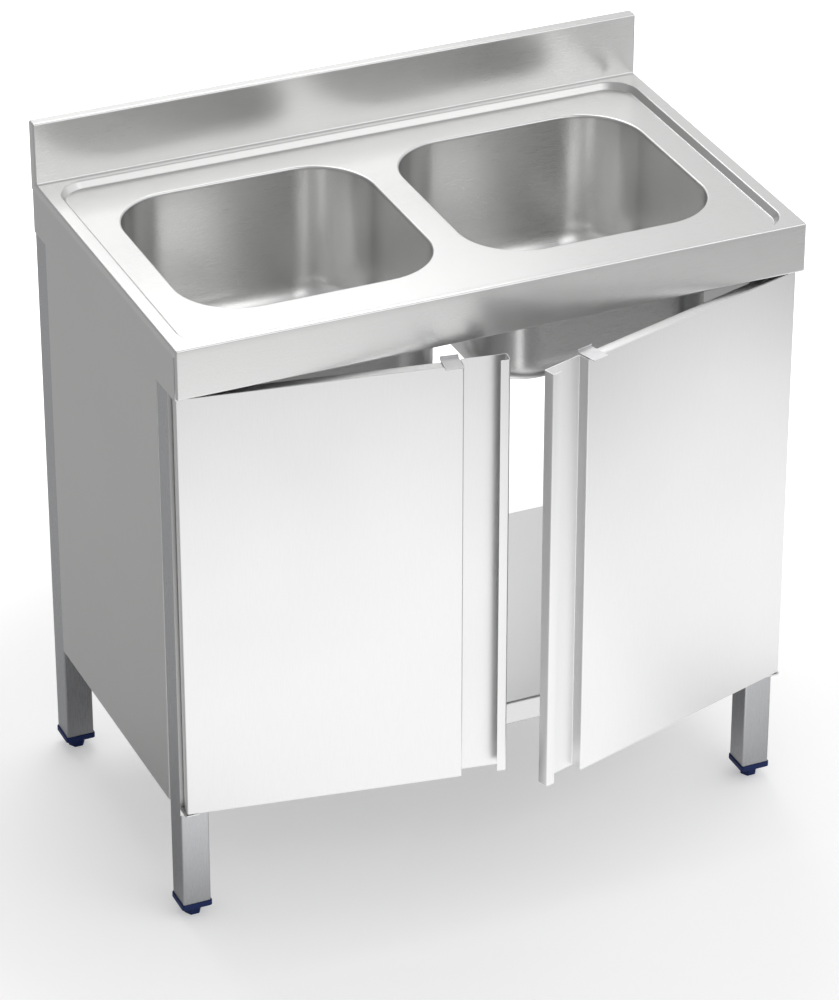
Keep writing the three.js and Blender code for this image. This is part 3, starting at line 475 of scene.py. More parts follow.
bowl_right = copy_of(bowl_left, "bowl_right_shell", Vector((2 * BOWL_X * MM, 0, 0)))
stands_for(bowl_left, "bowl_left", "sink_unit", "bowl_steel")
stands_for(bowl_right, "bowl_right", "sink_unit", "bowl_steel")
print("left bowl off by", offset_from(bowl_left, "bowl_left"))
print("right bowl off by", offset_from(bowl_right, "bowl_right"))

# %% [markdown]
# The waste has a polished flange with a dished grid. Seven holes let the water through. The
# flange is a disc pressed down in rings, and the holes are cut with a boolean, because a hole
# through a dish has no outline to start from.

# %% Waste strainers
CLEARANCE = 0.3
STRAINER_SIDES = 64
STRAINER_RADIUS = 40
STRAINER_SHEET = 0.9
STRAINER_STEPS = [(0.3, -0.9), (0.9, -0.8), (1.2, -0.3), (14.5, 0), (0.8, 0.1), (1.0, 0.5),
                  (1.1, 0.5)]
HOLES = 7
HOLE_RADIUS = 4
HOLE_CIRCLE = 13
DRILL_LENGTH = 20
TAIL_RADIUS = 24
TAIL_LENGTH = 47
TAIL_WALL = 2.5
seat = BOWL_BASE - FLOOR_FALL - WELL_DEPTH + SHEET + CLEARANCE

strainer = start(bpy.ops.mesh.primitive_circle_add, "waste_strainer_left_dish",
                 vertices=STRAINER_SIDES, radius=STRAINER_RADIUS * MM, fill_type="NGON",
                 location=at(-BOWL_X, BOWL_Y, seat))
pick("FACE", lambda f: True)
press(STRAINER_STEPS)
finish_mesh(strainer)
if strainer.data.polygons[-1].normal.z < 0:
    strainer.data.flip_normals()
apply_modifier(strainer, "SOLIDIFY", thickness=STRAINER_SHEET * MM, offset=-1)

hole = {"vertices": 24, "radius": HOLE_RADIUS * MM, "depth": DRILL_LENGTH * MM}
drill = start(bpy.ops.mesh.primitive_cylinder_add, "drill", **hole,
              location=at(-BOWL_X + HOLE_CIRCLE, BOWL_Y, seat))
for number in range(1, HOLES):
    turn = 2 * pi * number / HOLES
    bpy.ops.mesh.primitive_cylinder_add(**hole, location=at(
        -BOWL_X + HOLE_CIRCLE * cos(turn), BOWL_Y + HOLE_CIRCLE * sin(turn), seat))
bpy.ops.object.mode_set(mode="OBJECT")
apply_modifier(strainer, "BOOLEAN", object=drill, operation="DIFFERENCE", solver="EXACT")
bpy.data.objects.remove(drill)

tail = start(bpy.ops.mesh.primitive_circle_add, "tail", vertices=STRAINER_SIDES,
             radius=TAIL_RADIUS * MM, fill_type="NOTHING", location=at(-BOWL_X, BOWL_Y, seat - 0.2))
bpy.ops.mesh.extrude_region_move(TRANSFORM_OT_translate={"value": (0, 0, -TAIL_LENGTH * MM)})
finish_mesh(tail)
apply_modifier(tail, "SOLIDIFY", thickness=TAIL_WALL * MM, offset=-1)
join(tail, strainer)
shade(strainer)
print("strainer off by", offset_from(strainer, "waste_strainer_left"))
strainer_right = copy_of(strainer, "waste_strainer_right_dish", Vector((2 * BOWL_X * MM, 0, 0)))
stands_for(strainer, "waste_strainer_left", "sink_unit", "polished_steel")
stands_for(strainer_right, "waste_strainer_right", "sink_unit", "polished_steel")

# %% [markdown]
# ## The doors
#
# A door is folded sheet. Its front turns back at the hinge side. At the other side it turns
# back too, runs along as the floor of a finger grip and comes forward again in a short lip.
# A press brake makes one fold after another, and so does this skin: it starts as the flat
# front, and for each fold its free edge is spun round the bend and then pulled straight. The
# surface lies in the middle of the sheet, so a fold to either side is measured in the same way.

# %% Door: the places of its folds
DOOR_SHEET = 1.0
DOOR_BEND = 2.0
DOOR_LOW, DOOR_HIGH = 208, 912
DOOR_THICKNESS = 20
DOOR_REVEAL = 5.5
DOOR_SIDE = HALF_WIDTH - DOOR_REVEAL
HINGE_INSET = 10
HINGE_X = DOOR_SIDE - HINGE_INSET
HINGE_Y = 27
HALF_GAP = 1.5
DOOR_FREE = DOOR_SIDE - HALF_GAP - HINGE_INSET
GRIP_WIDTH = 69
GRIP_EDGE = DOOR_FREE - GRIP_WIDTH
BACK_LIP = 12
GRIP_LIP = 14

front_face = (DOOR_SHEET - DOOR_THICKNESS) / 2
back_face = -front_face
hinge_face = -HINGE_INSET + DOOR_SHEET / 2
channel_face = GRIP_EDGE - DOOR_SHEET / 2
grip_face = DOOR_FREE - DOOR_SHEET / 2
print("door: %.1f mm wide" % (HINGE_INSET + DOOR_FREE))


def from_hinge(x, y, z):
    """A place in the closed left door, measured from its hinge line."""
    return at(-HINGE_X + x, HINGE_Y + y, z)


def start_sheet(name, low, high, turned):
    """Starts a piece as one flat, standing or lying rectangle between two corners."""
    size = high - low
    bpy.ops.object.select_all(action="DESELECT")
    bpy.ops.mesh.primitive_plane_add(size=1, location=(low + high) / 2, rotation=turned)
    piece = bpy.context.object
    piece.name = piece.data.name = name
    piece.scale = (size.x, size.y + size.z, 1)
    bpy.ops.object.transform_apply(location=True, rotation=True, scale=True)
    bpy.ops.object.mode_set(mode="EDIT")
    return piece


def fold_edge(on_edge, centre, axis, degrees, pull):
    """Spins one free edge round a bend, pulls it on in millimetres and says what it found.

    Degrees count anticlockwise seen against the axis, and Spin itself counts the other way.
    """
    count = pick("EDGE", on_edge)
    bpy.ops.mesh.spin(steps=6, angle=radians(-degrees), center=centre, axis=axis)
    if any(pull):
        shift = Vector(pull) * MM
        bpy.ops.mesh.extrude_region_move(TRANSFORM_OT_translate={"value": shift})
    return count


# %% Door: fold the front skin
STANDING = (radians(90), 0, 0)
UPRIGHT = (0, 0, 1)
B = DOOR_BEND


def upright_at(x, y):
    """A test for the free upright edge at a place in the door."""
    spot = from_hinge(x, y, 0).to_2d()
    return lambda edge: (edge.is_boundary and (middle(edge).to_2d() - spot).length < 0.1 * MM
                         and near(edge.verts[0].co.x, edge.verts[1].co.x))


door_skin = start_sheet("door_left_folded_skin",
                        from_hinge(hinge_face + B, front_face, DOOR_LOW),
                        from_hinge(channel_face - B, front_face, DOOR_HIGH), STANDING)
depth = back_face - front_face - 2 * B
folds = [
    # the edge's place, the bend's centre, the turn and the pull; B is the radius of a bend
    # from the hinge side of the front: back, then in again along the back
    (hinge_face + B, front_face, hinge_face + B, front_face + B, -90, (0, depth, 0)),
    (hinge_face, back_face - B, hinge_face + B, back_face - B, -90, (BACK_LIP - B, 0, 0)),
    # from the grip side of the front: back, along the grip's floor, forward and in again
    (channel_face - B, front_face, channel_face - B, front_face + B, 90, (0, depth, 0)),
    (channel_face, back_face - B, channel_face + B, back_face - B, -90,
     (grip_face - channel_face - 2 * B, 0, 0)),
    (grip_face - B, back_face, grip_face - B, back_face - B, -90, (0, -depth, 0)),
    (grip_face, front_face + B, grip_face - B, front_face + B, -90, (B - GRIP_LIP, 0, 0)),
]
folded = 0
for x, y, centre_x, centre_y, degrees, pull in folds:
    centre = from_hinge(centre_x, centre_y, 0)
    folded += fold_edge(upright_at(x, y), centre, UPRIGHT, degrees, pull)
print("folded", folded, "edges of", len(folds))
finish_mesh(door_skin)
apply_modifier(door_skin, "SOLIDIFY", thickness=DOOR_SHEET * MM, offset=0, use_even_offset=True)

# %% [markdown]
# The folded front is open at its top and bottom. A second, smaller fold closes each end. It
# sits a little below the skin's edge and a hair behind it, which leaves the thin dark line that
# a real door shows along the top of its front.

# %% Door: close the ends
CAP_STEP = 0.4
CAP_GAP = 0.9
CAP_LIP = 12


def end_cap(level, inwards):
    """A channel across the door at one end, with a lip down the front and one down the back."""
    front = front_face + DOOR_SHEET / 2 + CAP_GAP + DOOR_SHEET / 2
    back = back_face - DOOR_SHEET
    flat = level + inwards * (CAP_STEP + DOOR_SHEET / 2)
    cap = start_sheet("end_cap", from_hinge(hinge_face + DOOR_SHEET, front + B / 2, flat),
                      from_hinge(channel_face - DOOR_SHEET, back - B / 2, flat), (0, 0, 0))
    for y, centre_y, turn in ((front + B / 2, front + B / 2, 1), (back - B / 2, back - B / 2, -1)):
        fold_edge(lambda e: e.is_boundary and near(middle(e).y, from_hinge(0, y, 0).y)
                  and near(e.verts[0].co.y, e.verts[1].co.y),
                  from_hinge(0, centre_y, flat + inwards * B / 2), (1, 0, 0),
                  90 * turn * -inwards, (0, 0, inwards * CAP_LIP))
    finish_mesh(cap)
    apply_modifier(cap, "SOLIDIFY", thickness=DOOR_SHEET * MM, offset=0, use_even_offset=True)
    return cap


join(end_cap(DOOR_LOW, 1), end_cap(DOOR_HIGH, -1), door_skin)
shade(door_skin)

# %% [markdown]
# The doors stand ajar in the photograph, each by its own angle, and the frame holds them there.
# The right door is the left one seen in a mirror, so it is a mirrored copy whose faces are
# turned out again. Both are turned about their hinge lines, and the boxes of the measured doors
# tell whether they ended up in the right place.

# %% Doors: mirror, turn and check
def turn_door(piece, hinge, degrees):
    edit(piece)
    bpy.ops.transform.rotate(value=radians(degrees), orient_axis="Z", center_override=hinge)
    bpy.ops.object.mode_set(mode="OBJECT")


def mirror_copy(piece, name):
    """A copy on the other side of the middle, with its faces turned out again."""
    twin = copy_of(piece, name, Vector((0, 0, 0)))
    edit(twin)
    bpy.ops.transform.resize(value=(-1, 1, 1), center_override=(0, 0, 0))
    bpy.ops.mesh.flip_normals()
    bpy.ops.object.mode_set(mode="OBJECT")
    return twin


LEFT_AJAR = 9.4
RIGHT_AJAR = 17.6

door_skin_right = mirror_copy(door_skin, "door_right_folded_skin")
turn_door(door_skin, from_hinge(0, 0, 0), LEFT_AJAR)
turn_door(door_skin_right, at(HINGE_X, HINGE_Y, 0), -RIGHT_AJAR)
stands_for(door_skin, "door_left_skin", "door_left", "door_steel")
stands_for(door_skin_right, "door_right_skin", "door_right", "door_steel")
print("left door off by", offset_from(door_skin, "door_left_skin"))
print("right door off by", offset_from(door_skin_right, "door_right_skin"))

# %% [markdown]
# ## Legs, caps and feet
#
# A leg is square tube. A small block could be cut out of a large one, but one outline with
# round corners, pulled up and given a wall, makes it in three steps and keeps the wall even
# round the corners. Leg, cap and foot are made for the front left corner and copied later.

# %% Leg
LEG_SIZE = 45
LEG_CORNER = 3
LEG_WALL = 1.5
PANEL_SHEET = 1
LEG_X = HALF_WIDTH - SHEET - CLEARANCE - PANEL_SHEET - LEG_SIZE / 2
LEG_SETBACK, LEG_BACK_GAP = 42, 2
LEG_FRONT_Y = LEG_SETBACK + LEG_SIZE / 2
LEG_BACK_Y = DEPTH - LEG_BACK_GAP - LEG_SIZE / 2
LEG_LOW, LEG_HIGH = 28, FIELD - SHEET
leg_places = {
    "front_left": (-LEG_X, LEG_FRONT_Y),
    "front_right": (LEG_X, LEG_FRONT_Y),
    "rear_left": (-LEG_X, LEG_BACK_Y),
    "rear_right": (LEG_X, LEG_BACK_Y),
}
x, y = leg_places["front_left"]

leg = start(bpy.ops.mesh.primitive_plane_add, "leg_front_left_tube",
            at(x - LEG_SIZE / 2, y - LEG_SIZE / 2, LEG_LOW),
            at(x + LEG_SIZE / 2, y + LEG_SIZE / 2, LEG_LOW))
bpy.ops.mesh.bevel(offset=LEG_CORNER * MM, segments=6, affect="VERTICES", clamp_overlap=False)
bpy.ops.mesh.delete(type="ONLY_FACE")
bpy.ops.mesh.select_all(action="SELECT")
bpy.ops.mesh.extrude_region_move(
    TRANSFORM_OT_translate={"value": (0, 0, (LEG_HIGH - LEG_LOW) * MM)})
finish_mesh(leg)
apply_modifier(leg, "SOLIDIFY", thickness=LEG_WALL * MM, offset=-1, use_even_offset=True)
shade(leg)
print("leg off by", offset_from(leg, "leg_front_left"))

# %% [markdown]
# A plastic cap closes each tube. On the real unit it is one moulding: a square plate under the
# leg, a hollow plug in the tube, and a boss that holds the foot's stem. Here the three are
# separate closed bodies in one piece. The hole for the stem is cut through each of them before
# they are joined, because a boolean works best on one simple body. A moulding has no sharp
# edges, so a bevel softens the plate.

# %% Cap: a plate with a hollow plug, a boss and a hole for the stem
STEM = 5
STEM_HOLE = STEM + CLEARANCE
BOSS = 9
CAP_OVERHANG = 2
CAP_HALF = LEG_SIZE / 2 + CAP_OVERHANG
CAP_LOW, CAP_HIGH = 19, LEG_LOW - CLEARANCE
CAP_CORNER = 5
PLUG_HALF = LEG_SIZE / 2 - LEG_WALL - CLEARANCE
PLUG_HEIGHT = 22
PLUG_WALL = 2.5
SPARE = 5
DENT = 0.8


def dent(border, slope):
    """Sinks the picked face a little, inside a flat border, in millimetres."""
    bpy.ops.mesh.inset(thickness=border * MM)
    bpy.ops.mesh.inset(thickness=slope * MM, depth=-DENT * MM)


def bore(piece, low, high):
    """Cuts the hole for the stem straight through a piece."""
    drill = start(bpy.ops.mesh.primitive_cylinder_add, "drill", vertices=32,
                  radius=STEM_HOLE * MM, depth=(high - low) * MM,
                  location=at(x, y, (low + high) / 2))
    bpy.ops.object.mode_set(mode="OBJECT")
    apply_modifier(piece, "BOOLEAN", object=drill, operation="DIFFERENCE", solver="EXACT")
    bpy.data.objects.remove(drill)


plug = start(bpy.ops.mesh.primitive_cube_add, "plug", at(x - PLUG_HALF, y - PLUG_HALF, CAP_HIGH),
             at(x + PLUG_HALF, y + PLUG_HALF, CAP_HIGH + PLUG_HEIGHT))
pick("FACE", lambda f: f.normal.z > 0.99)
bpy.ops.mesh.inset(thickness=PLUG_WALL * MM)
bpy.ops.mesh.extrude_region_move(
    TRANSFORM_OT_translate={"value": (0, 0, (1 - PLUG_HEIGHT) * MM)})
pick("EDGE", is_sharp)
bpy.ops.mesh.bevel(offset=0.6 * MM, segments=2, affect="EDGES")
finish_mesh(plug)
bore(plug, CAP_HIGH - SPARE, CAP_HIGH + SPARE)

boss = start(bpy.ops.mesh.primitive_cylinder_add, "boss", vertices=32, radius=BOSS * MM,
             depth=PLUG_HEIGHT * MM, location=at(x, y, CAP_HIGH + PLUG_HEIGHT / 2))
finish_mesh(boss)
bore(boss, CAP_HIGH - SPARE, CAP_HIGH + PLUG_HEIGHT + SPARE)

cap = start(bpy.ops.mesh.primitive_cube_add, "leg_cap_front_left_plate",
            at(x - CAP_HALF, y - CAP_HALF, CAP_LOW), at(x + CAP_HALF, y + CAP_HALF, CAP_HIGH))
pick("EDGE", lambda e: not near(e.verts[0].co.z, e.verts[1].co.z))
bpy.ops.mesh.bevel(offset=CAP_CORNER * MM, segments=6, affect="EDGES", clamp_overlap=False)
pick("EDGE", is_sharp)
bpy.ops.mesh.bevel(offset=0.9 * MM, segments=3, affect="EDGES", clamp_overlap=False)
pick("FACE", lambda f: f.normal.z < -0.99)
dent(3, 0.6)
finish_mesh(cap)
bore(cap, CAP_LOW - SPARE, CAP_HIGH + SPARE)
join(boss, plug, cap)
shade(cap)

# %% [markdown]
# The unit is levelled by turning its feet: a foot is a six-sided pad on a threaded stem. The
# pad is a cone with six sides. The thread could be a bump in the material, but it shows in
# outline when a foot is screwed out, so it is real: one tooth is drawn point by point, and the
# Screw modifier turns and raises it along the stem.

# %% Foot: a six-sided pad and its threaded stem
FOOT_TOP = CAP_LOW - CLEARANCE
FOOT_BASE_RADIUS, FOOT_TOP_RADIUS = 13.5, 15.5
PITCH = 1.5
THREAD_DEPTH = 0.8
THREAD_TOP = STEM - 0.1
STEM_LENGTH = 40

foot = start(bpy.ops.mesh.primitive_cone_add, "foot_front_left_pad", vertices=6,
             radius1=FOOT_BASE_RADIUS * MM, radius2=FOOT_TOP_RADIUS * MM, depth=FOOT_TOP * MM,
             location=at(x, y, FOOT_TOP / 2), rotation=(0, 0, radians(30)))
pick("EDGE", is_sharp)
bpy.ops.mesh.bevel(offset=1.1 * MM, segments=4, affect="EDGES", clamp_overlap=False)
pick("FACE", lambda f: f.normal.z > 0.99)
dent(4, 0.8)
pick("FACE", lambda f: f.normal.z < -0.99)
dent(2.5, 0.8)
finish_mesh(foot)

root = Vector((THREAD_TOP - THREAD_DEPTH, 0, 0)) * MM
flank = Vector((THREAD_DEPTH, 0, 0.45 * PITCH)) * MM
crest = Vector((0, 0, 0.1 * PITCH)) * MM
stem = start(bpy.ops.mesh.primitive_plane_add, "stem", location=root, size=MM)
bpy.ops.mesh.merge(type="CENTER")
for step in (flank, crest, Vector((-flank.x, 0, flank.z))):
    bpy.ops.mesh.extrude_vertices_move(TRANSFORM_OT_translate={"value": step})
bpy.ops.object.mode_set(mode="OBJECT")
apply_modifier(stem, "SCREW", screw_offset=PITCH * MM, steps=16, render_steps=16,
               iterations=int(STEM_LENGTH / PITCH) - 1, use_merge_vertices=True,
               merge_threshold=0.002 * MM)
edit(stem)
bpy.ops.transform.translate(value=at(x, y, FOOT_TOP - 1))
bpy.ops.mesh.fill_holes(sides=0)
finish_mesh(stem)
join(stem, foot)
shade(foot)

# %% [markdown]
# The other three corners get copies. Legs and caps belong to the unit. Each foot rides on a
# body of its own, because it can be screwed out alone.

# %% Legs, caps and feet: copy to the other corners
kinds = ((leg, "tube", "leg_", "tube_steel"), (cap, "plate", "leg_cap_", "navy_plastic"),
         (foot, "pad", "foot_", "navy_plastic"))
for corner, (to_x, to_y) in leg_places.items():
    shift = Vector(((to_x - x) * MM, (to_y - y) * MM, 0))
    for piece, kind, node, slot in kinds:
        name = node + corner + "_" + kind
        placed = piece if corner == "front_left" else copy_of(piece, name, shift)
        body = node + corner if node == "foot_" else "sink_unit"
        stands_for(placed, node + corner, body, slot)
print("legs, caps and feet:", len(kinds) * len(leg_places))

# %% [markdown]
# ## Finishes
#
# A finish is a tree of nodes: noises feed the colour, the roughness and the height of one
# shader. A picture of steel could be wrapped round the pieces instead, but a noise has no seams
# and never repeats. Every tree here needs the same three things: a node with some of its values
# set, a fresh material, and a noise brought into a range.

# %% Helpers for materials
def node_of(tree, kind, **inputs):
    """Adds a shader node and sets some of its inputs by name."""
    node = tree.nodes.new(kind)
    for name, value in inputs.items():
        node.inputs[name].default_value = value
    return node


def blank_material(name):
    material = bpy.data.materials.new(name)
    material.use_nodes = True
    tree = material.node_tree
    return material, tree, tree.nodes["Principled BSDF"]


def varied(tree, source, low, high):
    """Maps a noise, which mostly lies between 0.3 and 0.7, on to a range."""
    ranged = node_of(tree, "ShaderNodeMapRange", **{"From Min": 0.3, "From Max": 0.7})
    ranged.inputs["To Min"].default_value = low
    ranged.inputs["To Max"].default_value = high
    tree.links.new(source, ranged.inputs["Value"])
    return ranged.outputs["Result"]


# %% [markdown]
# Nearly everything here is brushed stainless steel. Brushing leaves thousands of fine parallel
# scratches, less than half a millimetre apart. From a few metres away the eye doesn't see them
# one by one, but a highlight spreads across them and stays narrow along them. The finish is a
# noise pattern stretched along the grain, which varies the roughness, the tint and the height
# by very little. A second, broad noise stands for the cloudy marks that rolling and handling
# leave. The shader's tangent is the direction in which it blurs most, so it points across the
# grain: it has the two axes that the grain doesn't follow, and each face uses the one it lies in.

# %% Brushed steel
ALONG_GRAIN, ACROSS_GRAIN = 40, 2400
SCRATCH_ROUGHNESS = 0.03
CLOUD_ROUGHNESS = 0.015
SCRATCH_TINT = 0.03
SCRATCH_BUMP = 0.4
SPREAD_ACROSS = 0.35


def brushed_steel(name, colour, roughness, grain, relief=0.004):
    """Metal with fine scratches along the grain, which is 0 for X, 1 for Y and 2 for Z."""
    material, tree, shader = blank_material(name)
    place = tree.nodes.new("ShaderNodeTexCoord").outputs["Object"]
    stretch = node_of(tree, "ShaderNodeMapping")
    stretch.inputs["Scale"].default_value = [
        ALONG_GRAIN if axis == grain else ACROSS_GRAIN for axis in range(3)]
    tree.links.new(place, stretch.inputs["Vector"])
    scratches = node_of(tree, "ShaderNodeTexNoise", Scale=1.0, Detail=4.0, Roughness=0.6)
    tree.links.new(stretch.outputs["Vector"], scratches.inputs["Vector"])
    clouds = node_of(tree, "ShaderNodeTexNoise", Scale=5.0, Detail=3.0, Roughness=0.55)
    tree.links.new(place, clouds.inputs["Vector"])

    both = node_of(tree, "ShaderNodeMath")
    both.operation = "ADD"
    tree.links.new(varied(tree, scratches.outputs["Fac"], -SCRATCH_ROUGHNESS, SCRATCH_ROUGHNESS),
                   both.inputs[0])
    tree.links.new(varied(tree, clouds.outputs["Fac"], roughness - CLOUD_ROUGHNESS,
                          roughness + CLOUD_ROUGHNESS), both.inputs[1])
    tree.links.new(both.outputs["Value"], shader.inputs["Roughness"])

    tint = node_of(tree, "ShaderNodeMix")
    tint.data_type = "RGBA"
    tint.inputs["A"].default_value = [c * (1 - SCRATCH_TINT) for c in colour] + [1]
    tint.inputs["B"].default_value = [min(1, c * (1 + SCRATCH_TINT)) for c in colour] + [1]
    tree.links.new(varied(tree, scratches.outputs["Fac"], 0, 1), tint.inputs["Factor"])
    tree.links.new(tint.outputs["Result"], shader.inputs["Base Color"])

    bump = node_of(tree, "ShaderNodeBump", Strength=SCRATCH_BUMP, Distance=relief * MM)
    tree.links.new(scratches.outputs["Fac"], bump.inputs["Height"])
    tree.links.new(bump.outputs["Normal"], shader.inputs["Normal"])
    across = node_of(tree, "ShaderNodeCombineXYZ")
    for axis in range(3):
        across.inputs[axis].default_value = 0 if axis == grain else 1
    tree.links.new(across.outputs["Vector"], shader.inputs["Tangent"])
    shader.inputs["Metallic"].default_value = 1
    shader.inputs["Anisotropic"].default_value = SPREAD_ACROSS
    return material


steels = {
    "worktop_steel": brushed_steel("worktop_steel", (0.70, 0.70, 0.695), 0.30, 0),
    "bowl_steel": brushed_steel("bowl_steel", (0.76, 0.76, 0.755), 0.29, 0, 0.0006),
    "door_steel": brushed_steel("door_steel", (0.76, 0.76, 0.76), 0.36, 2),
    "panel_steel": brushed_steel("panel_steel", (0.68, 0.68, 0.675), 0.36, 2),
    "shelf_steel": brushed_steel("shelf_steel", (0.70, 0.70, 0.70), 0.36, 0),
    "tube_steel": brushed_steel("tube_steel", (0.48, 0.485, 0.50), 0.28, 2),
    "polished_steel": brushed_steel("polished_steel", (0.50, 0.50, 0.51), 0.2, 0, 0.002),
}
print("steel finishes:", len(steels))

# %% [markdown]
# The few pieces that aren't brushed are moulded or plated. Moulded plastic has a faint grain
# from its mould and shines a little at its edges. Rubber is darker and duller. The doors' catch
# plates are plated steel, with a grain that runs nowhere. One helper makes them all, with a
# fine noise in the surface and a broad one in the colour.

# %% Plastics, rubber and the plated catch plates
PATCH_ROUGHNESS = 0.06
PATCH_DARK, PATCH_PALE = 0.85, 1.12


def moulded(name, colour, roughness, relief=0.05, metallic=0.0, shine=0.5):
    """A finish without a direction: fine grain in its height and broad clouds in its colour."""
    material, tree, shader = blank_material(name)
    place = tree.nodes.new("ShaderNodeTexCoord").outputs["Object"]
    grain = node_of(tree, "ShaderNodeTexNoise", Scale=900.0, Detail=2.0)
    clouds = node_of(tree, "ShaderNodeTexNoise", Scale=40.0, Detail=3.0)
    tree.links.new(place, grain.inputs["Vector"])
    tree.links.new(place, clouds.inputs["Vector"])
    tree.links.new(varied(tree, clouds.outputs["Fac"], roughness - PATCH_ROUGHNESS,
                          roughness + PATCH_ROUGHNESS), shader.inputs["Roughness"])
    tint = node_of(tree, "ShaderNodeMix")
    tint.data_type = "RGBA"
    tint.inputs["A"].default_value = [c * PATCH_DARK for c in colour] + [1]
    tint.inputs["B"].default_value = [min(1, c * PATCH_PALE) for c in colour] + [1]
    tree.links.new(varied(tree, clouds.outputs["Fac"], 0, 1), tint.inputs["Factor"])
    tree.links.new(tint.outputs["Result"], shader.inputs["Base Color"])
    bump = node_of(tree, "ShaderNodeBump", Strength=0.3, Distance=relief * MM)
    tree.links.new(grain.outputs["Fac"], bump.inputs["Height"])
    tree.links.new(bump.outputs["Normal"], shader.inputs["Normal"])
    shader.inputs["Metallic"].default_value = metallic
    shader.inputs["Specular IOR Level"].default_value = shine
    return material


finishes = dict(steels)
finishes["navy_plastic"] = moulded("navy_plastic", (0.006, 0.02, 0.11), 0.5, shine=0.3)
finishes["black_plastic"] = moulded("black_plastic", (0.02, 0.02, 0.022), 0.5)
finishes["black_rubber"] = moulded("black_rubber", (0.012, 0.012, 0.012), 0.75)
finishes["nylon"] = moulded("nylon", (0.78, 0.78, 0.74), 0.45)
finishes["catch_steel"] = moulded("catch_steel", (0.62, 0.62, 0.63), 0.4, metallic=1.0)
print("finishes:", len(finishes))

# %% [markdown]
# Every piece now gets its finish. The record says which finish each measured piece has, and a
# modelled piece takes the finish of the one it stands for.

# %% Give each piece its finish
slots = {part["node"]: part["material_slot"] for part in frame["record"]["subparts"]}
for node, piece in frame["nodes"].items():
    piece.data.materials.clear()
    piece.data.materials.append(finishes[slots[node]])
modelled = [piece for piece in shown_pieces() if piece.get("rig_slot")]
for piece in modelled:
    piece.data.materials.clear()
    piece.data.materials.append(finishes[piece["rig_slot"]])
print("modelled pieces:", len(modelled))

# %% [markdown]
# The small folded and turned pieces that keep their measured mesh still have razor edges, which
# no real edge has. Two live modifiers soften them without touching the mesh: Weld joins the
# loose triangles and Bevel rounds the sharp edges by a quarter of a millimetre.

# %% Soften the edges of the measured pieces
EDGE_BEVEL = 0.25

measured = [piece for piece in frame["nodes"].values() if not piece.hide_render]
for piece in measured:
    weld = piece.modifiers.new("Weld", "WELD")
    weld.merge_threshold = 0.002 * MM
    soften = piece.modifiers.new("Soften", "BEVEL")
    soften.width = EDGE_BEVEL * MM
    soften.segments = 2
    soften.angle_limit = radians(50)
    soften.harden_normals = True
print("pieces with softened edges:", len(measured))

# %% [markdown]
# ## The studio
#
# Polished metal has hardly any look of its own: it shows what stands around it. A photographer
# therefore builds the surroundings of a sink as carefully as the sink. Screens could stand
# around the unit, but they would also throw their light on the floor. Here the floor and the
# room are plain, and their nodes give each kind of ray an answer of its own. Two helpers serve
# for that: one fades a value with the distance from a place, and one combines two values.

# %% Helpers for the studio
def faded(tree, centre, inner, outer, near_value, far_value):
    """A value that changes softly with the distance from a place on the floor."""
    place = tree.nodes.new("ShaderNodeNewGeometry").outputs["Position"]
    distance = tree.nodes.new("ShaderNodeVectorMath")
    distance.operation = "DISTANCE"
    distance.inputs[1].default_value = centre
    tree.links.new(place, distance.inputs[0])
    change = node_of(tree, "ShaderNodeMapRange", **{
        "From Min": inner, "From Max": outer, "To Min": near_value, "To Max": far_value})
    change.interpolation_type = "SMOOTHSTEP"
    tree.links.new(distance.outputs["Value"], change.inputs["Value"])
    return change.outputs["Result"]


def combine(tree, operation, first, second):
    result = tree.nodes.new("ShaderNodeMath")
    result.operation = operation
    tree.links.new(first, result.inputs[0])
    tree.links.new(second, result.inputs[1])
    return result.outputs["Value"]


# %% [markdown]
# The unit stands on a plain pale floor, which keeps the soft shadow and glows into white far
# out. For the steel only, the floor is a greyer colour, a painted shade in its reflections, which
# is why the side panel is grey. Two stretches of it glow for the steel alone, painted reflections:
# one in front, which the left door and the apron mirror, and one further right, which the right
# door mirrors because it stands wider open. Where the two overlap, the brighter one counts.

# %% Floor
FLOOR_WHITE = 0.8
# grey of the floor in reflections only: painted shade that darkens what the steel mirrors
FLOOR_PAINTED_SHADE_IN_REFLECTIONS = 0.58
FLOOR_LOW, FLOOR_HIGH = Vector((-9, -9, 0)), Vector((9, 12, 0))
FLOOR_GAP = 0.3
# the centre, where the fading starts and ends, and the values inside and outside of it
CAMERA_FADE = (0, 0, 0), 0.75, 1.6, 0.34, 1.0
# two floor patches that glow for reflections only: painted reflections of a bright floor
PAINTED_REFLECTION_POOL = (0, -1.2, 0), 0.7, 1.3, 0.88, 0.0
PAINTED_SIDE_REFLECTION_POOL = (1.4, -0.65, 0), 0.55, 1.0, 0.76, 0.0

floor = start(bpy.ops.mesh.primitive_plane_add, "studio_floor", FLOOR_LOW, FLOOR_HIGH)
bpy.ops.object.mode_set(mode="OBJECT")
floor.location.z = -FLOOR_GAP * MM
floor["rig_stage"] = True

material, tree, shader = blank_material("studio_floor")
shader.inputs["Roughness"].default_value = 0.9
shader.inputs["Specular IOR Level"].default_value = 0.1
shader.inputs["Emission Color"].default_value = (1, 1, 1, 1)
rays = tree.nodes.new("ShaderNodeLightPath").outputs
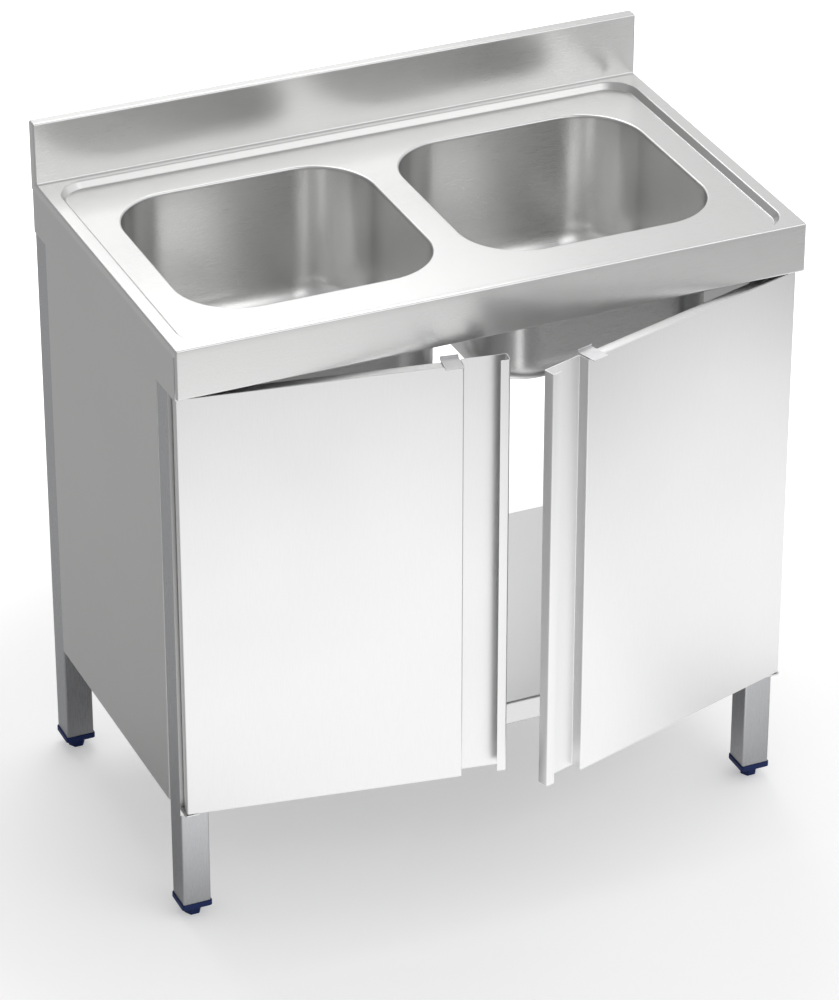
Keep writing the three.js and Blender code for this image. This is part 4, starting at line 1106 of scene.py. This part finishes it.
# for glossy rays the floor's colour is the darker grey: painted shade in the reflections
colour = node_of(tree, "ShaderNodeMix")
colour.data_type = "RGBA"
colour.inputs["A"].default_value = (FLOOR_WHITE, FLOOR_WHITE, FLOOR_WHITE, 1)
colour.inputs["B"].default_value = (FLOOR_PAINTED_SHADE_IN_REFLECTIONS, FLOOR_PAINTED_SHADE_IN_REFLECTIONS, FLOOR_PAINTED_SHADE_IN_REFLECTIONS, 1)
tree.links.new(rays["Is Glossy Ray"], colour.inputs["Factor"])
tree.links.new(colour.outputs["Result"], shader.inputs["Base Color"])
for_camera = combine(tree, "MULTIPLY", rays["Is Camera Ray"], faded(tree, *CAMERA_FADE))
# the patches glow only for glossy rays: painted reflections in the steel; the camera's glow is the
# white backdrop
painted_reflection_pools = combine(tree, "MAXIMUM", faded(tree, *PAINTED_REFLECTION_POOL), faded(tree, *PAINTED_SIDE_REFLECTION_POOL))
painted_reflection_glow = combine(tree, "MULTIPLY", rays["Is Glossy Ray"], painted_reflection_pools)
backdrop_and_painted_reflection_glow = combine(tree, "ADD", for_camera, painted_reflection_glow)
tree.links.new(backdrop_and_painted_reflection_glow, shader.inputs["Emission Strength"])
floor.data.materials.append(material)
print("floor: %.0f m wide, %.0f m deep" % tuple(FLOOR_HIGH.xy - FLOOR_LOW.xy))

# %% [markdown]
# The world is the room around the unit. It is white for the camera only, as the photograph's
# background is. For all other rays its strength follows the direction that the ray comes from:
# a little under half of white from the left and a little over white from the right. One grey
# for all directions would be simpler, but the steel would then look like grey plastic.

# %% World
WORLD_LEFT = 0.44
WORLD_RIGHT = 1.05

world = bpy.data.worlds.new("studio")
bpy.context.scene.world = world
world.use_nodes = True
tree = world.node_tree
room = tree.nodes["Background"]
room.inputs["Color"].default_value = (1, 1, 1, 1)
direction = tree.nodes.new("ShaderNodeSeparateXYZ")
sky = tree.nodes.new("ShaderNodeTexCoord")
tree.links.new(sky.outputs["Generated"], direction.inputs["Vector"])
sideways = node_of(tree, "ShaderNodeMapRange", **{
    "From Min": -0.3, "From Max": 0.9, "To Min": WORLD_LEFT, "To Max": WORLD_RIGHT})
sideways.interpolation_type = "SMOOTHSTEP"
tree.links.new(direction.outputs["X"], sideways.inputs["Value"])
tree.links.new(sideways.outputs["Result"], room.inputs["Strength"])
white = node_of(tree, "ShaderNodeBackground", Color=(1, 1, 1, 1), Strength=1)
choose = tree.nodes.new("ShaderNodeMixShader")
tree.links.new(tree.nodes.new("ShaderNodeLightPath").outputs["Is Camera Ray"], choose.inputs["Fac"])
tree.links.new(room.outputs["Background"], choose.inputs[1])
tree.links.new(white.outputs["Background"], choose.inputs[2])
tree.links.new(choose.outputs["Shader"], tree.nodes["World Output"].inputs["Surface"])
print("room: %.2f at the left, %.2f at the right" % (WORLD_LEFT, WORLD_RIGHT))

# %% [markdown]
# Three large soft lamps do the rest. The strongest hangs high behind the unit: it draws the
# bright sheen over the left of the worktop and throws the shadow forwards. A weak one behind
# fills that sheen, and one in front lights the slope at the back of the field and the back walls
# of the bowls. A lamp's brightness to the eye is its power spread over its area, so the power is
# worked out from the size and the wanted brightness, where 1 is white.

# %% Lamps
LAMP_TARGET = Vector((0, 0, 0.6))


def soft_lamp(name, direction, distance, size, brightness):
    """A lamp that faces the unit, with its size in metres."""
    outwards = Vector(direction).normalized()
    light = bpy.data.lights.new(name, "AREA")
    light.shape = "RECTANGLE"
    light.size, light.size_y = size
    light.energy = brightness * pi * size[0] * size[1]
    lamp = bpy.data.objects.new(name, light)
    lamp.location = LAMP_TARGET + outwards * distance
    lamp.rotation_euler = (-outwards).to_track_quat("-Z", "Y").to_euler()
    bpy.context.scene.collection.objects.link(lamp)
    print("%s: %.0f W" % (name, light.energy))


soft_lamp("lamp_high_behind", direction=(0.05, 0.55, 0.85), distance=3.6, size=(2.4, 1.6),
          brightness=2.75)
soft_lamp("lamp_behind", direction=(0.10, 0.85, 0.52), distance=4.2, size=(2.4, 1.6),
          brightness=0.31)
soft_lamp("lamp_front", direction=(0.22, -0.75, 0.56), distance=4.2, size=(3.0, 1.4),
          brightness=1.6)

# %% [markdown]
# ## The camera
#
# The camera stands where the photograph was taken from: about seven metres away, 24 degrees to
# the left of the front and 30 degrees above the level. These numbers come from matching the
# corners of the worktop, the doors and the legs. The photograph is taller than it is wide, so
# the lens is given for the photograph's width.

# %% Camera
CAMERA_TURN = radians(-23.818)
CAMERA_RISE = radians(29.959)
CAMERA_DISTANCE = 7.1483
CAMERA_TARGET = at(0, 284.9, 494.0)
LENS_IN_PIXELS = 4633.2
PHOTO_WIDTH = 839
SENSOR = 36

outwards = Vector((sin(CAMERA_TURN) * cos(CAMERA_RISE), -cos(CAMERA_TURN) * cos(CAMERA_RISE),
                   sin(CAMERA_RISE)))
data = bpy.data.cameras.new("camera")
data.sensor_fit = "HORIZONTAL"
data.sensor_width = SENSOR
data.lens = LENS_IN_PIXELS / PHOTO_WIDTH * SENSOR
camera = bpy.data.objects.new("camera", data)
camera.location = CAMERA_TARGET + outwards * CAMERA_DISTANCE
camera.rotation_euler = (-outwards).to_track_quat("-Z", "Y").to_euler()
bpy.context.scene.collection.objects.link(camera)
bpy.context.scene.camera = camera
bpy.context.scene.view_settings.view_transform = "Standard"
print("lens: %.0f mm on a %d mm sensor" % (data.lens, SENSOR))

# %% [markdown]
# ## Check the size
#
# Looks don't change dimensions. The box of the finished model is printed as its difference from
# the box of the measured one.

# %% Sizes, and the end
look_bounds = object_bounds()
for low_or_high, cad_corner, look_corner in zip(("low", "high"), cad_bounds, look_bounds):
    print(low_or_high, [round((a - b) / MM, 2) for a, b in zip(look_corner, cad_corner)])
